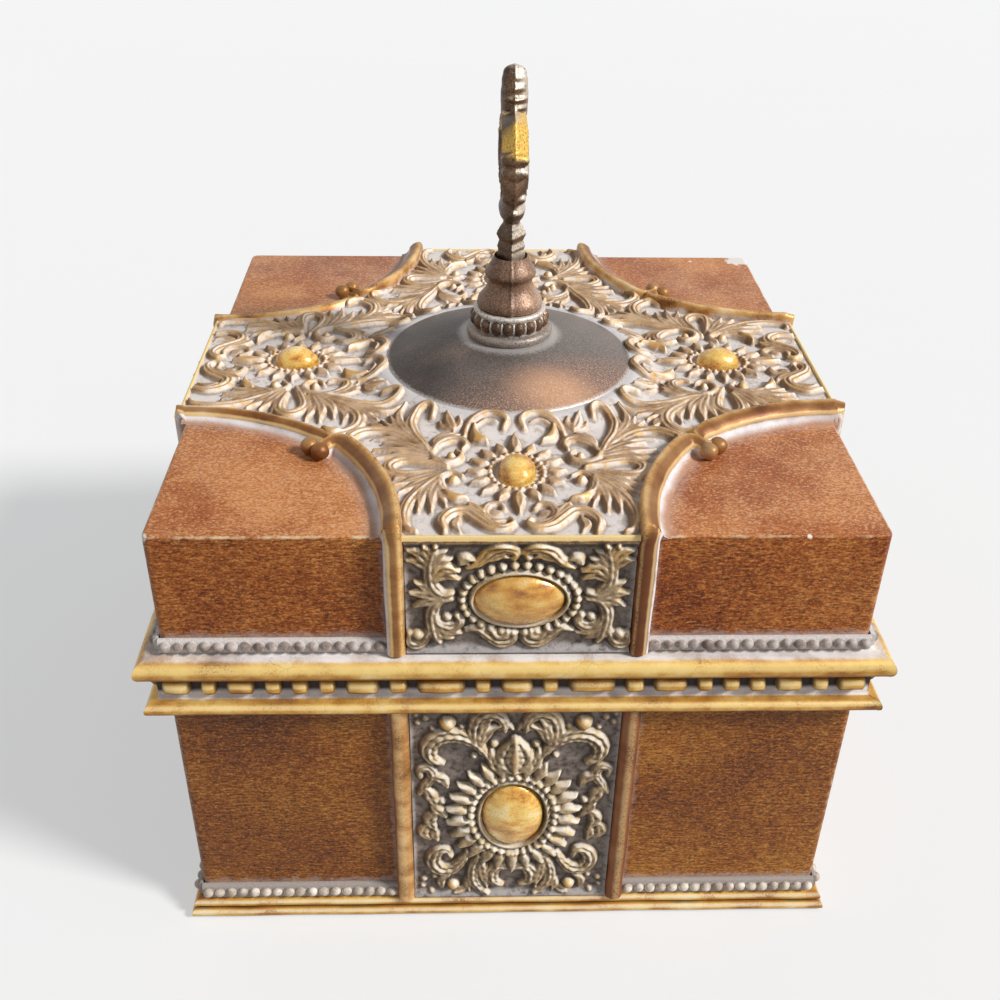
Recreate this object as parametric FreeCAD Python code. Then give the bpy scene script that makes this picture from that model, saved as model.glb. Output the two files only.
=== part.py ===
import FreeCAD, Part
import math
import os

# Square wooden box with a lift-off lid, dressed with cast scrollwork, bead rows and a pierced handle.
# Millimetres, +Z up, origin at the middle of the underside, front towards -Y.

# Boards of the box and the lid
box_side = 166.0            # outside of the walls, the same for box and lid
box_wall = 8.0
lid_wall = 7.5
lid_board = 7.5
floor_board = 6.0
seam_height = 86.0          # where the lid rests on the box, above the table
lid_height = 37.9           # lid boards, seam to top
corner_radius = 2.0         # worn rounding of the upright corners

# Felt under the base and on the floor inside
base_felt_thickness = 1.0
lining_thickness = 1.2
lining_clearance = 0.4

# Battens inside the box that locate the lid
lip_thickness = 4.0
lip_drop = 25.0             # below the seam
lip_rise = 6.0              # above the seam
lip_tip_chamfer = 1.0

# Plinth, two half-round steps
plinth_lower_reach = 3.4    # proud of the wall
plinth_lower_height = 3.2
plinth_upper_reach = 2.5
plinth_upper_height = 2.8

# Bead rows along the foot of the box and the foot of the lid
bead_diameter = 2.9
bead_pitch = 3.05
bead_neck = 0.45            # radius of the thread between two beads
bead_slip = 1.2             # thickness of the slip that carries the row
base_slip_height = 4.6
lid_slip_height = 3.4

# Rim of the box: gilt fillet, flat band, bead and reel
fillet_height = 3.3
fillet_reach = 4.9
band_height = 7.4
band_reach = 1.6
reel_diameter = 3.9
reel_gap = 2.2
reel_thread = 0.8           # radius of the thread between two reels
reel_lengths = (3.9, 11.4, 4.5, 8.0, 4.1, 4.1, 4.1, 6.6, 3.9, 6.8)
middle_reel_length = 7.8
reel_height_in_band = 4.3   # axis of the row above the fillet

# Rim of the lid, a bold half round over the seam
lid_rim_height = 6.4
lid_rim_reach = 5.75
lid_rim_nose = 3.0          # how far the half round stands beyond its flat top and bottom

# Upright strips and the scroll mouldings that carry on over the lid
strip_middle = 28.2         # from the middle of a side to the middle of a strip
strip_width = 4.4
strip_reach = 3.4
strip_shoulder = 1.6        # height of the straight flank under the rounded face
scroll_radius = 59.2        # middle line of a scroll arc
scroll_start = 1.0          # the arc starts this far outside the wall
scroll_flank = 2.7          # straight flank above the lid
scroll_crown = 2.0          # rounded crown above the flank
scroll_sweep = 60.0         # degrees of the arc, which the diagonal cuts short
volute_ball_radius = 2.5
volute_disc_radius = 4.4
volute_disc_height = 2.6
volute_offset = 5.2         # middle of the ball from the inner flank of the scroll
diagonal_gap = 0.15         # between the balls of two neighbouring scrolls, each side

# Cast relief panels, a thin ground with the main leaves standing on it
relief_ground = 0.7         # box and lid side panels
relief_thickness = 2.0      # to the faces of the leaves
top_relief_ground = 1.0
top_relief_thickness = 2.5
top_overhang = 2.2          # the arms of the top panel reach past the walls
relief_clearance = 0.15     # round every inlaid panel
sill_height = 2.8           # sloping sill along the foot of a side panel
crown_height = 2.4          # sloping crown along the top of a lid panel
cove_reach = 9.0            # the top panel rises round the dome
cove_rise = 2.2
cove_lip = 0.5              # flat round the dome

# Main leaves of the panels: half width, then the middle line in shares of the panel.
# Shares of half a side from the middle of the lid, for the front arm of the top panel
top_leaves = (
    (1.6, (0.243, -0.629), (0.284, -0.528), (0.312, -0.429), (0.282, -0.364)),
    (1.7, (0.265, -0.583), (0.340, -0.501), (0.422, -0.470), (0.465, -0.513)),
    (1.4, (0.251, -0.622), (0.330, -0.593), (0.414, -0.588)),
    (1.4, (0.240, -0.588), (0.193, -0.525), (0.149, -0.549)),
    (1.6, (0.198, -0.684), (0.316, -0.646), (0.361, -0.692), (0.296, -0.718)),
    (1.6, (0.222, -0.725), (0.290, -0.855), (0.289, -0.940), (0.272, -1.002)),
    (1.4, (0.212, -0.752), (0.240, -0.831), (0.226, -0.908)),
    (1.7, (0.205, -0.998), (0.190, -0.920), (0.130, -0.925), (0.077, -0.981), (0.022, -0.978)),
)
# Shares of the half width across and of the height up, for the side panels
box_leaves = (
    (1.8, (0.34, 0.79), (0.39, 0.90), (0.26, 0.96), (0.11, 0.92)),
    (2.0, (0.27, 0.76), (0.48, 0.85), (0.76, 0.84), (0.79, 0.75)),
    (1.4, (0.92, 0.58), (0.82, 0.64), (0.84, 0.70)),
    (1.5, (0.85, 0.59), (0.80, 0.55), (0.74, 0.49)),
    (1.6, (0.78, 0.47), (0.83, 0.42), (0.77, 0.37)),
    (1.9, (0.47, 0.24), (0.60, 0.16), (0.79, 0.18), (0.75, 0.25)),
    (1.5, (0.35, 0.23), (0.40, 0.13), (0.29, 0.04)),
    (1.6, (0.07, 0.17), (0.20, 0.14), (0.14, 0.08)),
)
lid_leaves = (
    (1.5, (0.46, 0.77), (0.29, 0.87), (0.09, 0.93)),
    (1.5, (0.74, 0.95), (0.79, 0.74), (0.66, 0.55)),
    (1.4, (0.75, 0.69), (0.67, 0.77), (0.53, 0.74)),
    (1.5, (0.61, 0.49), (0.76, 0.41), (0.75, 0.15)),
    (1.5, (0.47, 0.21), (0.28, 0.17), (0.08, 0.11)),
)

# Oval bosses: across, along, proud
box_boss_width = 15.4
box_boss_height = 21.4
box_boss_rise = 2.9
box_boss_drop = 3.05        # below the middle of its panel
box_seat_margin = 8.6       # raised seat round the boss
lid_boss_width = 20.8
lid_boss_height = 14.0
lid_boss_rise = 2.7
lid_boss_drop = 0.45
lid_seat_margin = 3.8
top_boss_width = 9.2
top_boss_length = 12.0
top_boss_rise = 3.4
top_boss_place = 58.5       # from the middle of the lid
top_seat_margin = 6.6

# Dome on the lid
dome_radius = 34.0
dome_skirt = 3.5            # upright edge
dome_rise = 8.1             # skirt to apex of the full curve
dome_clearance = 0.3

# Beaded collar
collar_foot_radius = 11.6
collar_foot_height = 2.9
collar_drum_radius = 9.4
collar_height = 8.0
collar_bead_diameter = 3.2
collar_bead_count = 19
collar_bead_height = 4.9    # middle of the beads above the foot
collar_groove = 0.6

# Baluster
bell_radius = 8.8
bell_edge = 2.6
bell_height = 6.9           # from the collar to the neck
bell_hollow = 0.6           # how far the flank dips inside a straight one
neck_radius = 5.9
cone_radius = 6.85
cone_rise = 2.5             # neck to cone edge
cone_height = 4.6
cone_top_radius = 4.4

# Pierced handle, a flat casting
handle_thickness = 6.2
stem_half_width = 3.8
stem_height = 8.7
lobe_reach = 9.4
lobe_height = 6.8
waist_half_width = 5.6
arm_reach = 15.4
arm_height = 22.1
arm_width = 7.2             # from the finger gap to the outside of the bow
arm_sill = 3.2              # under the finger gap
arm_crown = 5.2             # over the finger gap
knuckle_radius = 1.9        # two knuckles on the widest part of each arm
knuckle_spacing = 3.4
leaf_neck_half_width = 3.4
leaf_neck_height = 1.2
leaf_reach = 5.0
leaf_lobe_height = 4.6
leaf_tip_half_width = 2.8   # where the lobe meets the tip
leaf_tip_height = 4.3
leaf_tip_waist = 0.95       # half width half way up the tip

# Screw that holds the handle from inside the lid
screw_radius = 1.5
screw_clearance = 0.2
thread_clearance = 0.05
screw_in_stem = 6.0
screw_tip_gap = 1.0
screw_head_radius = 3.4
screw_head_height = 2.4
washer_radius = 6.5
washer_thickness = 1.0

# Levels and places worked out from the sizes above
half_side = box_side / 2
lid_top = seam_height + lid_height
floor_bottom = base_felt_thickness
floor_top = floor_bottom + floor_board
plinth_top = plinth_lower_height + plinth_upper_height
rim_bottom = seam_height - band_height - fillet_height
fillet_top = rim_bottom + fillet_height
lid_rim_top = seam_height + lid_rim_height
strip_inner = strip_middle - strip_width / 2
strip_outer = strip_middle + strip_width / 2
strip_face = half_side + strip_reach
scroll_top = lid_top + scroll_flank + scroll_crown
relief_half_width = strip_inner - relief_clearance
relief_face = half_side + relief_thickness
top_relief_face = lid_top + top_relief_thickness
dome_curve = (dome_radius ** 2 + dome_rise ** 2) / (2 * dome_rise)
dome_apex = lid_top + dome_skirt + dome_rise
dome_seat = dome_apex - dome_curve + math.sqrt(dome_curve ** 2 - collar_foot_radius ** 2)
collar_top = dome_seat + collar_height
baluster_top = collar_top + bell_height + cone_rise + cone_height
waist_level = baluster_top + stem_height + lobe_height
arm_top = waist_level + arm_height
handle_top = arm_top + leaf_neck_height + leaf_lobe_height + leaf_tip_height
lid_ceiling = lid_top - lid_board

side_names = ("front", "right", "back", "left")
sides = {name: 360 * index / len(side_names) for index, name in enumerate(side_names)}
up = FreeCAD.Vector(0, 0, 1)
along = FreeCAD.Vector(1, 0, 0)
middle = FreeCAD.Vector(0, 0, 0)


def save(name, *solids):
    shape = solids[0] if len(solids) == 1 else Part.makeCompound(list(solids))
    for solid in shape.Solids:
        assert solid.isValid(), name
    shape.exportStep("parts/" + name + ".step")


def turned(shape, angle):
    copy = shape.copy()
    copy.rotate(middle, up, angle)
    return copy


def save_four(name, *front_solids):
    for side, angle in sides.items():
        save(name + "_" + side, *[turned(solid, angle) for solid in front_solids])


def outline(start, *steps):
    # A step is a point for a straight edge, or a pair (through, end) for an arc.
    edges = []
    here = start
    for step in steps:
        if isinstance(step, tuple):
            edges.append(Part.Arc(here, step[0], step[1]).toShape())
            here = step[1]
        else:
            edges.append(Part.LineSegment(here, step).toShape())
            here = step
    edges.append(Part.LineSegment(here, start).toShape())
    return Part.Face(Part.Wire(edges))


def front(out, z):
    # A point of a front moulding's section, given its distance from the middle and its height.
    return FreeCAD.Vector(0, -out, z)


def block(low, high):
    size = high - low
    return Part.makeBox(size.x, size.y, size.z, low)


def joined(*solids):
    return solids[0].fuse(list(solids[1:])).removeSplitter()


def quarter(reach):
    # The front quarter of the plan, between the two diagonals, over the whole height.
    corners = [FreeCAD.Vector(x, y, 0) for x, y in ((0, 0), (-reach, -reach), (reach, -reach), (0, 0))]
    return Part.Face(Part.makePolygon(corners)).extrude(up * handle_top)


def mitred(section):
    # A front moulding with its ends cut on the diagonals, so that four of them close round the box.
    reach = -section.BoundBox.YMin
    section.translate(along * -reach)
    return section.extrude(along * 2 * reach).common(quarter(2 * reach))


def round_corners(solid):
    prism = Part.makeBox(box_side, box_side, handle_top, FreeCAD.Vector(-half_side, -half_side, 0))
    upright = [edge for edge in prism.Edges if abs(edge.tangentAt(edge.FirstParameter).z) > 0.5]
    return solid.common(prism.makeFillet(corner_radius, upright))


def half_turned_row(points, out, z):
    # A row with a flat back on a front face: a profile over the row's axis, turned by half a turn.
    # The points are (place along the row, radius), and a triple step gives an arc.
    def place(along_row, radius):
        return FreeCAD.Vector(along_row, -out, z + radius)
    start = place(points[0][0], 0)
    steps = [place(*points[0])]
    for step in points[1:]:
        steps.append(place(*step) if len(step) == 2 else (place(*step[:2]), place(*step[2:])))
    steps.append(place(points[-1][-2], 0))
    return outline(start, *steps).revolve(front(out, z), along, 180)


def bead_row(start, end, bottom, slip_height):
    count = int((end - start) / bead_pitch)
    pitch = (end - start) / count
    points = [(start, bead_neck)]
    for bead in range(count):
        left = start + bead * pitch
        points.append((left + pitch / 2, bead_diameter / 2, left + pitch, bead_neck))
    slip_face = half_side + bead_slip
    slip = block(FreeCAD.Vector(start, -slip_face, bottom),
                 FreeCAD.Vector(end, -half_side, bottom + slip_height))
    return joined(slip, half_turned_row(points, slip_face, bottom + slip_height / 2))


def reel_row():
    # Reels laid out from the middle towards both ends, for as many as the rim has room for.
    end = half_side + band_reach
    half = []
    place = middle_reel_length / 2 + reel_gap
    index = 0
    while place + reel_lengths[index % len(reel_lengths)] < end:
        length = reel_lengths[index % len(reel_lengths)]
        half.append((place, length))
        place += length + reel_gap
        index += 1
    reels = [(-start - length, length) for start, length in reversed(half)]
    reels += [(-middle_reel_length / 2, middle_reel_length)] + half
    radius = reel_diameter / 2
    rounding = radius - reel_thread
    lean = rounding * (1 - math.sqrt(0.5))
    points = [(reels[0][0] - rounding / 2, reel_thread)]
    for start, length in reels:
        stop = start + length
        points.append((start, reel_thread))
        points.append((start + lean, radius - lean, start + rounding, radius))
        points.append((stop - rounding, radius))
        points.append((stop - lean, radius - lean, stop, reel_thread))
    points.append((reels[-1][0] + reels[-1][1] + rounding / 2, reel_thread))
    return half_turned_row(points, end, fillet_top + reel_height_in_band)


def oval_boss(width, height, rise, z):
    # Half an ellipsoid on a front face, its flat back in the plane y = 0.
    ball = Part.makeSphere(1.0)
    half = ball.common(Part.makeBox(4, 2, 4, FreeCAD.Vector(-2, -2, -2)))
    stretch = FreeCAD.Matrix()
    stretch.scale(width / 2, rise, height / 2)
    boss = half.transformGeometry(stretch)
    boss.translate(up * z)
    return boss


def leaves(rows, across, upward, thickness):
    # The main leaves of a panel laid flat, on both sides of its middle line.
    solids = []
    for half_width, *shares in rows:
        line = [FreeCAD.Vector(x * across, y * upward, 0) for x, y in shares]
        edge = []
        for place, before, after in zip(line, line[:1] + line, line[1:] + line[-1:]):
            side = up.cross(after - before).normalize() * half_width
            middle_of_edge = len(edge) // 2
            edge[middle_of_edge:middle_of_edge] = [place + side, place - side]
        leaf = Part.Face(Part.makePolygon(edge + edge[:1])).extrude(up * thickness)
        solids += [leaf, leaf.mirror(middle, along)]
    return solids


def boss_seat(width, height, margin, y, thickness):
    # An oval step on a panel laid flat, for a boss to stand on.
    ends = [FreeCAD.Vector(width / 2 + margin, y, 0), FreeCAD.Vector(0, y + height / 2 + margin, 0)]
    if height > width:
        ends.reverse()
    return Part.Face(Part.Wire(Part.Ellipse(*ends, FreeCAD.Vector(0, y, 0)).toShape())).extrude(up * thickness)


def slope(y, direction, height):
    # A sloping edge on a side panel laid flat, from the leaves' face at y down to the ground.
    def place(from_edge, z):
        return FreeCAD.Vector(-relief_half_width, y + direction * from_edge, z)
    section = outline(place(0, 0), place(0, relief_thickness), place(height, relief_ground), place(height, 0))
    return section.extrude(along * 2 * relief_half_width)


def side_panel(bottom, top, rows, *forms):
    # A front panel: its ground, its leaves and further forms, all laid flat and then stood up on the wall.
    ground = block(FreeCAD.Vector(-relief_half_width, 0, 0),
                   FreeCAD.Vector(relief_half_width, top - bottom, relief_ground))
    panel = joined(ground, *forms, *leaves(rows, relief_half_width, top - bottom, relief_thickness))
    panel.rotate(middle, along, 90)
    panel.translate(front(half_side, bottom))
    return panel


def strip(hand, bottom, top):
    # An upright moulding with a rounded face, on the left (-1) or right (1) of a front.
    shoulder = half_side + strip_shoulder
    left = hand * strip_middle - strip_width / 2
    right = left + strip_width

    def place(x, out):
        return FreeCAD.Vector(x, -out, bottom)
    section = outline(place(left, half_side), place(left, shoulder),
                      (place(hand * strip_middle, strip_face), place(right, shoulder)),
                      place(right, half_side))
    return section.extrude(up * (top - bottom))


def scroll_axis(hand):
    # The upright axis of the scroll arc on the left (-1) or right (1) of the front.
    return FreeCAD.Vector(hand * (strip_middle + scroll_radius), -half_side - scroll_start, 0)


def lid_scroll(hand):
    # One C-scroll: the strip up the lid's side, the arc over the top and the volute at the diagonal.
    axis = scroll_axis(hand)
    flank = lid_top + scroll_flank
    inner = hand * strip_inner
    outer = hand * strip_outer

    def section(y):
        return outline(FreeCAD.Vector(outer, y, lid_top), FreeCAD.Vector(outer, y, flank),
                       (FreeCAD.Vector(hand * strip_middle, y, scroll_top), FreeCAD.Vector(inner, y, flank)),
                       FreeCAD.Vector(inner, y, lid_top))
    straight = section(-strip_face).extrude(FreeCAD.Vector(0, strip_face - half_side - scroll_start, 0))
    arc = section(axis.y).revolve(axis, up, -hand * scroll_sweep)
    upright = strip(hand, lid_rim_top, flank)

    ball_place = scroll_radius - strip_width / 2 - volute_offset
    from_diagonal = (volute_ball_radius + diagonal_gap) * math.sqrt(2)
    centre_from_diagonal = half_side + scroll_start - strip_middle - scroll_radius
    lean = (from_diagonal - centre_from_diagonal) / (ball_place * math.sqrt(2))
    turn = math.acos(lean) - math.pi / 4
    ball_middle = axis + FreeCAD.Vector(-hand * ball_place * math.cos(turn), ball_place * math.sin(turn), 0)
    ball = Part.makeSphere(volute_ball_radius, ball_middle + up * (lid_top + volute_disc_height))
    disc_place = ball_place + volute_offset / 2
    disc_middle = axis + FreeCAD.Vector(-hand * disc_place * math.cos(turn), disc_place * math.sin(turn), 0)
    disc = Part.makeCylinder(volute_disc_radius, volute_disc_height, disc_middle + up * lid_top)
    return joined(straight, upright, arc, disc, ball).common(quarter(2 * half_side))


def build_box():
    save_four("box_wall", round_corners(mitred(outline(
        front(half_side, floor_bottom), front(half_side, seam_height),
        front(half_side - box_wall, seam_height), front(half_side - box_wall, floor_bottom)))))
    inside = half_side - box_wall
    save("box_floor", block(FreeCAD.Vector(-inside, -inside, floor_bottom),
                            FreeCAD.Vector(inside, inside, floor_top)))
    lining = inside - lining_clearance
    save("floor_lining", block(FreeCAD.Vector(-lining, -lining, floor_top),
                               FreeCAD.Vector(lining, lining, floor_top + lining_thickness)))
    save("base_felt", block(FreeCAD.Vector(-half_side, -half_side, 0),
                            FreeCAD.Vector(half_side, half_side, floor_bottom)))
    save_four("locating_lip", mitred(outline(
        front(inside, seam_height - lip_drop), front(inside, seam_height + lip_rise - lip_tip_chamfer),
        front(inside - lip_tip_chamfer, seam_height + lip_rise),
        front(inside - lip_thickness, seam_height + lip_rise),
        front(inside - lip_thickness, seam_height - lip_drop))))


def build_box_trim():
    lower = half_side + plinth_lower_reach - plinth_lower_height / 2
    upper = half_side + plinth_upper_reach - plinth_upper_height / 2
    save_four("plinth", mitred(outline(
        front(half_side, 0), front(lower, 0),
        (front(half_side + plinth_lower_reach, plinth_lower_height / 2), front(lower, plinth_lower_height)),
        front(upper, plinth_lower_height),
        (front(half_side + plinth_upper_reach, plinth_lower_height + plinth_upper_height / 2),
         front(upper, plinth_top)),
        front(half_side, plinth_top))))
    nose = half_side + fillet_reach - fillet_height / 2
    band = half_side + band_reach
    save_four("box_rim", mitred(outline(
        front(half_side, rim_bottom), front(nose, rim_bottom),
        (front(half_side + fillet_reach, rim_bottom + fillet_height / 2), front(nose, fillet_top)),
        front(band, fillet_top), front(band, seam_height), front(half_side, seam_height))))
    save("bead_and_reel", *[turned(reel_row(), angle) for angle in sides.values()])
    save_four("base_beads",
              bead_row(-half_side, -strip_outer, plinth_top, base_slip_height),
              bead_row(strip_outer, half_side, plinth_top, base_slip_height))
    strips = [strip(hand, plinth_top, rim_bottom) for hand in (-1, 1)]
    save("box_strips", *[turned(piece, angle) for angle in sides.values() for piece in strips])
    boss_place = (plinth_top + rim_bottom) / 2 - box_boss_drop
    seat = boss_seat(box_boss_width, box_boss_height, box_seat_margin, boss_place - plinth_top, relief_thickness)
    save_four("box_relief", side_panel(plinth_top, rim_bottom, box_leaves, seat, slope(0, 1, sill_height)))
    boss = oval_boss(box_boss_width, box_boss_height, box_boss_rise, boss_place)
    boss.translate(front(relief_face, 0))
    save("box_bosses", *[turned(boss, angle) for angle in sides.values()])


def build_lid():
    save_four("lid_wall", round_corners(mitred(outline(
        front(half_side, seam_height), front(half_side, lid_top),
        front(half_side - lid_wall, lid_ceiling), front(half_side - lid_wall, seam_height)))))
    small = half_side - lid_wall
    corners = ((-1, -1), (1, -1), (1, 1), (-1, 1), (-1, -1))
    square_top = Part.makePolygon([FreeCAD.Vector(x * half_side, y * half_side, lid_top) for x, y in corners])
    square_under = Part.makePolygon([FreeCAD.Vector(x * small, y * small, lid_ceiling) for x, y in corners])
    board = round_corners(Part.makeLoft([square_under, square_top], True, True))
    save("lid_board", board.cut(screw_hole(lid_ceiling, lid_top)))
    nose = half_side + lid_rim_reach - lid_rim_nose
    save_four("lid_rim", mitred(outline(
        front(half_side, seam_height), front(nose, seam_height),
        (front(half_side + lid_rim_reach, seam_height + lid_rim_height / 2), front(nose, lid_rim_top)),
        front(half_side, lid_rim_top))))
    save_four("lid_beads",
              bead_row(-half_side, -strip_outer, lid_rim_top, lid_slip_height),
              bead_row(strip_outer, half_side, lid_rim_top, lid_slip_height))


def build_lid_ornament():
    save_four("lid_scroll", lid_scroll(-1), lid_scroll(1))
    boss_place = (lid_rim_top + lid_top) / 2 - lid_boss_drop
    seat = boss_seat(lid_boss_width, lid_boss_height, lid_seat_margin, boss_place - lid_rim_top, relief_thickness)
    save_four("lid_relief", side_panel(lid_rim_top, lid_top, lid_leaves, seat, slope(0, 1, sill_height),
                                       slope(lid_top - lid_rim_top, -1, crown_height)))
    boss = oval_boss(lid_boss_width, lid_boss_height, lid_boss_rise, boss_place)
    boss.translate(front(relief_face, 0))
    save("lid_bosses", *[turned(boss, angle) for angle in sides.values()])

    reach = half_side + top_overhang
    ground = block(FreeCAD.Vector(-reach, -reach, 0), FreeCAD.Vector(reach, reach, top_relief_ground))
    well_radius = dome_radius + dome_clearance
    cove = Part.makeCone(well_radius + cove_reach, well_radius + cove_lip, cove_rise, up * top_relief_ground)
    arm = [boss_seat(top_boss_width, top_boss_length, top_seat_margin, -top_boss_place, top_relief_thickness),
           *leaves(top_leaves, half_side, half_side, top_relief_thickness)]
    panel = joined(ground, cove, *[turned(form, angle) for angle in sides.values() for form in arm])
    panel.translate(up * lid_top)
    flank = scroll_radius + strip_width / 2 + relief_clearance
    deep = top_relief_thickness + cove_rise
    for hand in (-1, 1):
        corner = Part.makeCylinder(flank, deep, scroll_axis(hand) + up * lid_top)
        corner = corner.common(quarter(2 * half_side))
        panel = panel.cut([turned(corner, angle) for angle in sides.values()])
    well = Part.makeCylinder(well_radius, deep, up * lid_top)
    save("top_relief", panel.cut(well))
    boss = oval_boss(top_boss_width, top_boss_length, top_boss_rise, 0)
    boss.rotate(middle, along, -90)
    boss.translate(front(top_boss_place, top_relief_face))
    save("top_bosses", *[turned(boss, angle) for angle in sides.values()])


def screw_hole(bottom, top):
    return Part.makeCylinder(screw_radius + screw_clearance, top - bottom, up * bottom)


def turned_solid(*profile):
    # A turned piece about the upright axis, bored for the screw. The points are (radius, height).
    bore = screw_radius + screw_clearance

    def place(radius, z):
        return FreeCAD.Vector(radius, 0, z)
    steps = []
    for step in profile:
        steps.append(place(*step) if len(step) == 2 else (place(*step[:2]), place(*step[2:])))
    return outline(place(bore, profile[0][-1]), *steps, place(bore, profile[-1][-1])).revolve(middle, up, 360)


def build_finial():
    def dome_level(radius):
        return dome_apex - dome_curve + math.sqrt(dome_curve ** 2 - radius ** 2)
    half_way = (dome_radius + collar_foot_radius) / 2
    save("dome", turned_solid(
        (dome_radius, lid_top), (dome_radius, lid_top + dome_skirt),
        (half_way, dome_level(half_way), collar_foot_radius, dome_seat)))

    foot_top = dome_seat + collar_foot_height
    foot_bulge = (collar_foot_radius - collar_drum_radius) / 2
    drum = turned_solid(
        (collar_foot_radius, dome_seat), (collar_foot_radius, foot_top - foot_bulge),
        (collar_drum_radius, foot_top),
        (collar_drum_radius, collar_top - collar_groove),
        (collar_drum_radius - collar_groove, collar_top))
    beads = []
    for bead in range(collar_bead_count):
        turn = 2 * math.pi * bead / collar_bead_count
        place = FreeCAD.Vector(math.cos(turn), math.sin(turn), 0) * collar_drum_radius
        beads.append(Part.makeSphere(collar_bead_diameter / 2, place + up * (dome_seat + collar_bead_height)))
    save("beaded_collar", joined(drum, *beads))

    neck = collar_top + bell_height
    cone = neck + cone_rise
    flank = (bell_radius + neck_radius) / 2 - bell_hollow
    save("baluster", turned_solid(
        (bell_radius, collar_top), (bell_radius, collar_top + bell_edge),
        (flank, (collar_top + bell_edge + neck) / 2, neck_radius, neck),
        (cone_radius, cone), (cone_top_radius, baluster_top)))


def build_handle():
    def place(y, z):
        return FreeCAD.Vector(-handle_thickness / 2, y, z)
    stem_top = baluster_top + stem_height
    gap_bottom = waist_level + arm_sill
    gap_top = arm_top - arm_crown
    gap_middle = (gap_bottom + gap_top) / 2
    leaf_foot = arm_top + leaf_neck_height
    leaf_tip = leaf_foot + leaf_lobe_height
    arm = (place(arm_reach, gap_middle), place(leaf_neck_half_width, arm_top))
    right = outline(
        place(0, baluster_top), place(stem_half_width, baluster_top), place(stem_half_width, stem_top),
        (place(lobe_reach, stem_top + lobe_height / 2), place(waist_half_width, waist_level)),
        arm, place(leaf_neck_half_width, leaf_foot),
        (place(leaf_reach, leaf_foot + leaf_lobe_height / 2), place(leaf_tip_half_width, leaf_tip)),
        (place(leaf_tip_waist, leaf_tip + leaf_tip_height / 2), place(0, handle_top)))
    gap = outline(place(0, gap_bottom), (place(arm_reach - arm_width, gap_middle), place(0, gap_top)))
    right = right.cut(gap).extrude(along * handle_thickness)
    arm_middle = Part.Arc(place(waist_half_width, waist_level), *arm).toShape().Curve.Center
    arm_radius = arm_reach - arm_middle.y
    for step in (-0.5, 0.5):
        turn = step * knuckle_spacing / arm_radius
        outward = FreeCAD.Vector(0, math.cos(turn), math.sin(turn))
        knuckle = arm_middle + outward * (arm_radius - knuckle_radius / 2)
        right = right.fuse(Part.makeCylinder(knuckle_radius, handle_thickness, knuckle, along))
    bow = joined(right, right.mirror(middle, FreeCAD.Vector(0, 1, 0)))
    thread_depth = screw_in_stem + screw_tip_gap
    thread = Part.makeCylinder(screw_radius + thread_clearance, thread_depth, up * baluster_top)
    save("handle", bow.cut(thread))

    washer = Part.makeCylinder(washer_radius, washer_thickness, up * (lid_ceiling - washer_thickness))
    save("handle_washer", washer.cut(screw_hole(lid_ceiling - washer_thickness, lid_ceiling)))
    under_washer = lid_ceiling - washer_thickness
    head = Part.makeCylinder(screw_head_radius, screw_head_height, up * (under_washer - screw_head_height))
    rim = [edge for edge in head.Edges if abs(edge.BoundBox.ZMax - head.BoundBox.ZMin) < 0.01]
    head = head.makeFillet(screw_head_height / 2, rim)
    shank = Part.makeCylinder(screw_radius, baluster_top + screw_in_stem - under_washer, up * under_washer)
    save("handle_screw", joined(head, shank))


os.makedirs("parts", exist_ok=True)
build_box()
build_box_trim()
build_lid()
build_lid_ornament()
build_finial()
build_handle()
print("overall height", round(handle_top, 1))
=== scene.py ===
import bpy
import math
import numpy as np
from mathutils import Matrix, Vector


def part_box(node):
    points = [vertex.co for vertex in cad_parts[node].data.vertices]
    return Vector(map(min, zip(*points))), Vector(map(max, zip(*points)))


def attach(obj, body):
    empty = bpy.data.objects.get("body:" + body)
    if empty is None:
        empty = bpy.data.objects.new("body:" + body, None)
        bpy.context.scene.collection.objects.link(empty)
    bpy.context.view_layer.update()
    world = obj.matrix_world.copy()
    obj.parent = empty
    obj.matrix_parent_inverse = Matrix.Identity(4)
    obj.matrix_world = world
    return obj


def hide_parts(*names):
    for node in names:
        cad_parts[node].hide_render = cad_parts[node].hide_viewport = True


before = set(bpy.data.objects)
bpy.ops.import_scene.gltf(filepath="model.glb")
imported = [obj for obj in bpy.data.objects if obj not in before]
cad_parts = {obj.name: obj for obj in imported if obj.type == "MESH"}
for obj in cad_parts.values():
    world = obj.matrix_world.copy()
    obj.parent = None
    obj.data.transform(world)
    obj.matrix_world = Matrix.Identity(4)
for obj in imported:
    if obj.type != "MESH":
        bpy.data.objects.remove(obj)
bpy.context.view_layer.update()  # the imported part, fixed; sizes below are millimetres
mm = 0.001


def corners(node):
    low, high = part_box(node)
    return low / mm, high / mm


lidLow, lidHigh = corners("lid_board")
half = lidHigh.x  # middle of the box to the outside of a wall
lidTop, lidCeiling = lidHigh.z, lidLow.z
seam = corners("lid_wall_front")[0].z
lidRimTop = corners("lid_rim_front")[1].z
plinthTop = corners("plinth_front")[1].z
rimBottom = corners("box_rim_front")[0].z
stripInner = corners("box_relief_front")[1].x + 0.15
turns = {"front": 0.0, "right": math.pi / 2, "back": math.pi, "left": -math.pi / 2}
print("frame loaded, half side", round(half, 2), "lid top", round(lidTop, 2))


# Modelling moves shared by the pieces

def clearSelection():
    if bpy.context.object and bpy.context.object.mode == "EDIT":
        bpy.ops.object.mode_set(mode="OBJECT")
    bpy.ops.object.select_all(action="DESELECT")


def takeUp(piece):
    clearSelection()
    piece.select_set(True)
    bpy.context.view_layer.objects.active = piece


def rename(piece, name):
    piece.name = piece.data.name = name
    return piece


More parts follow.
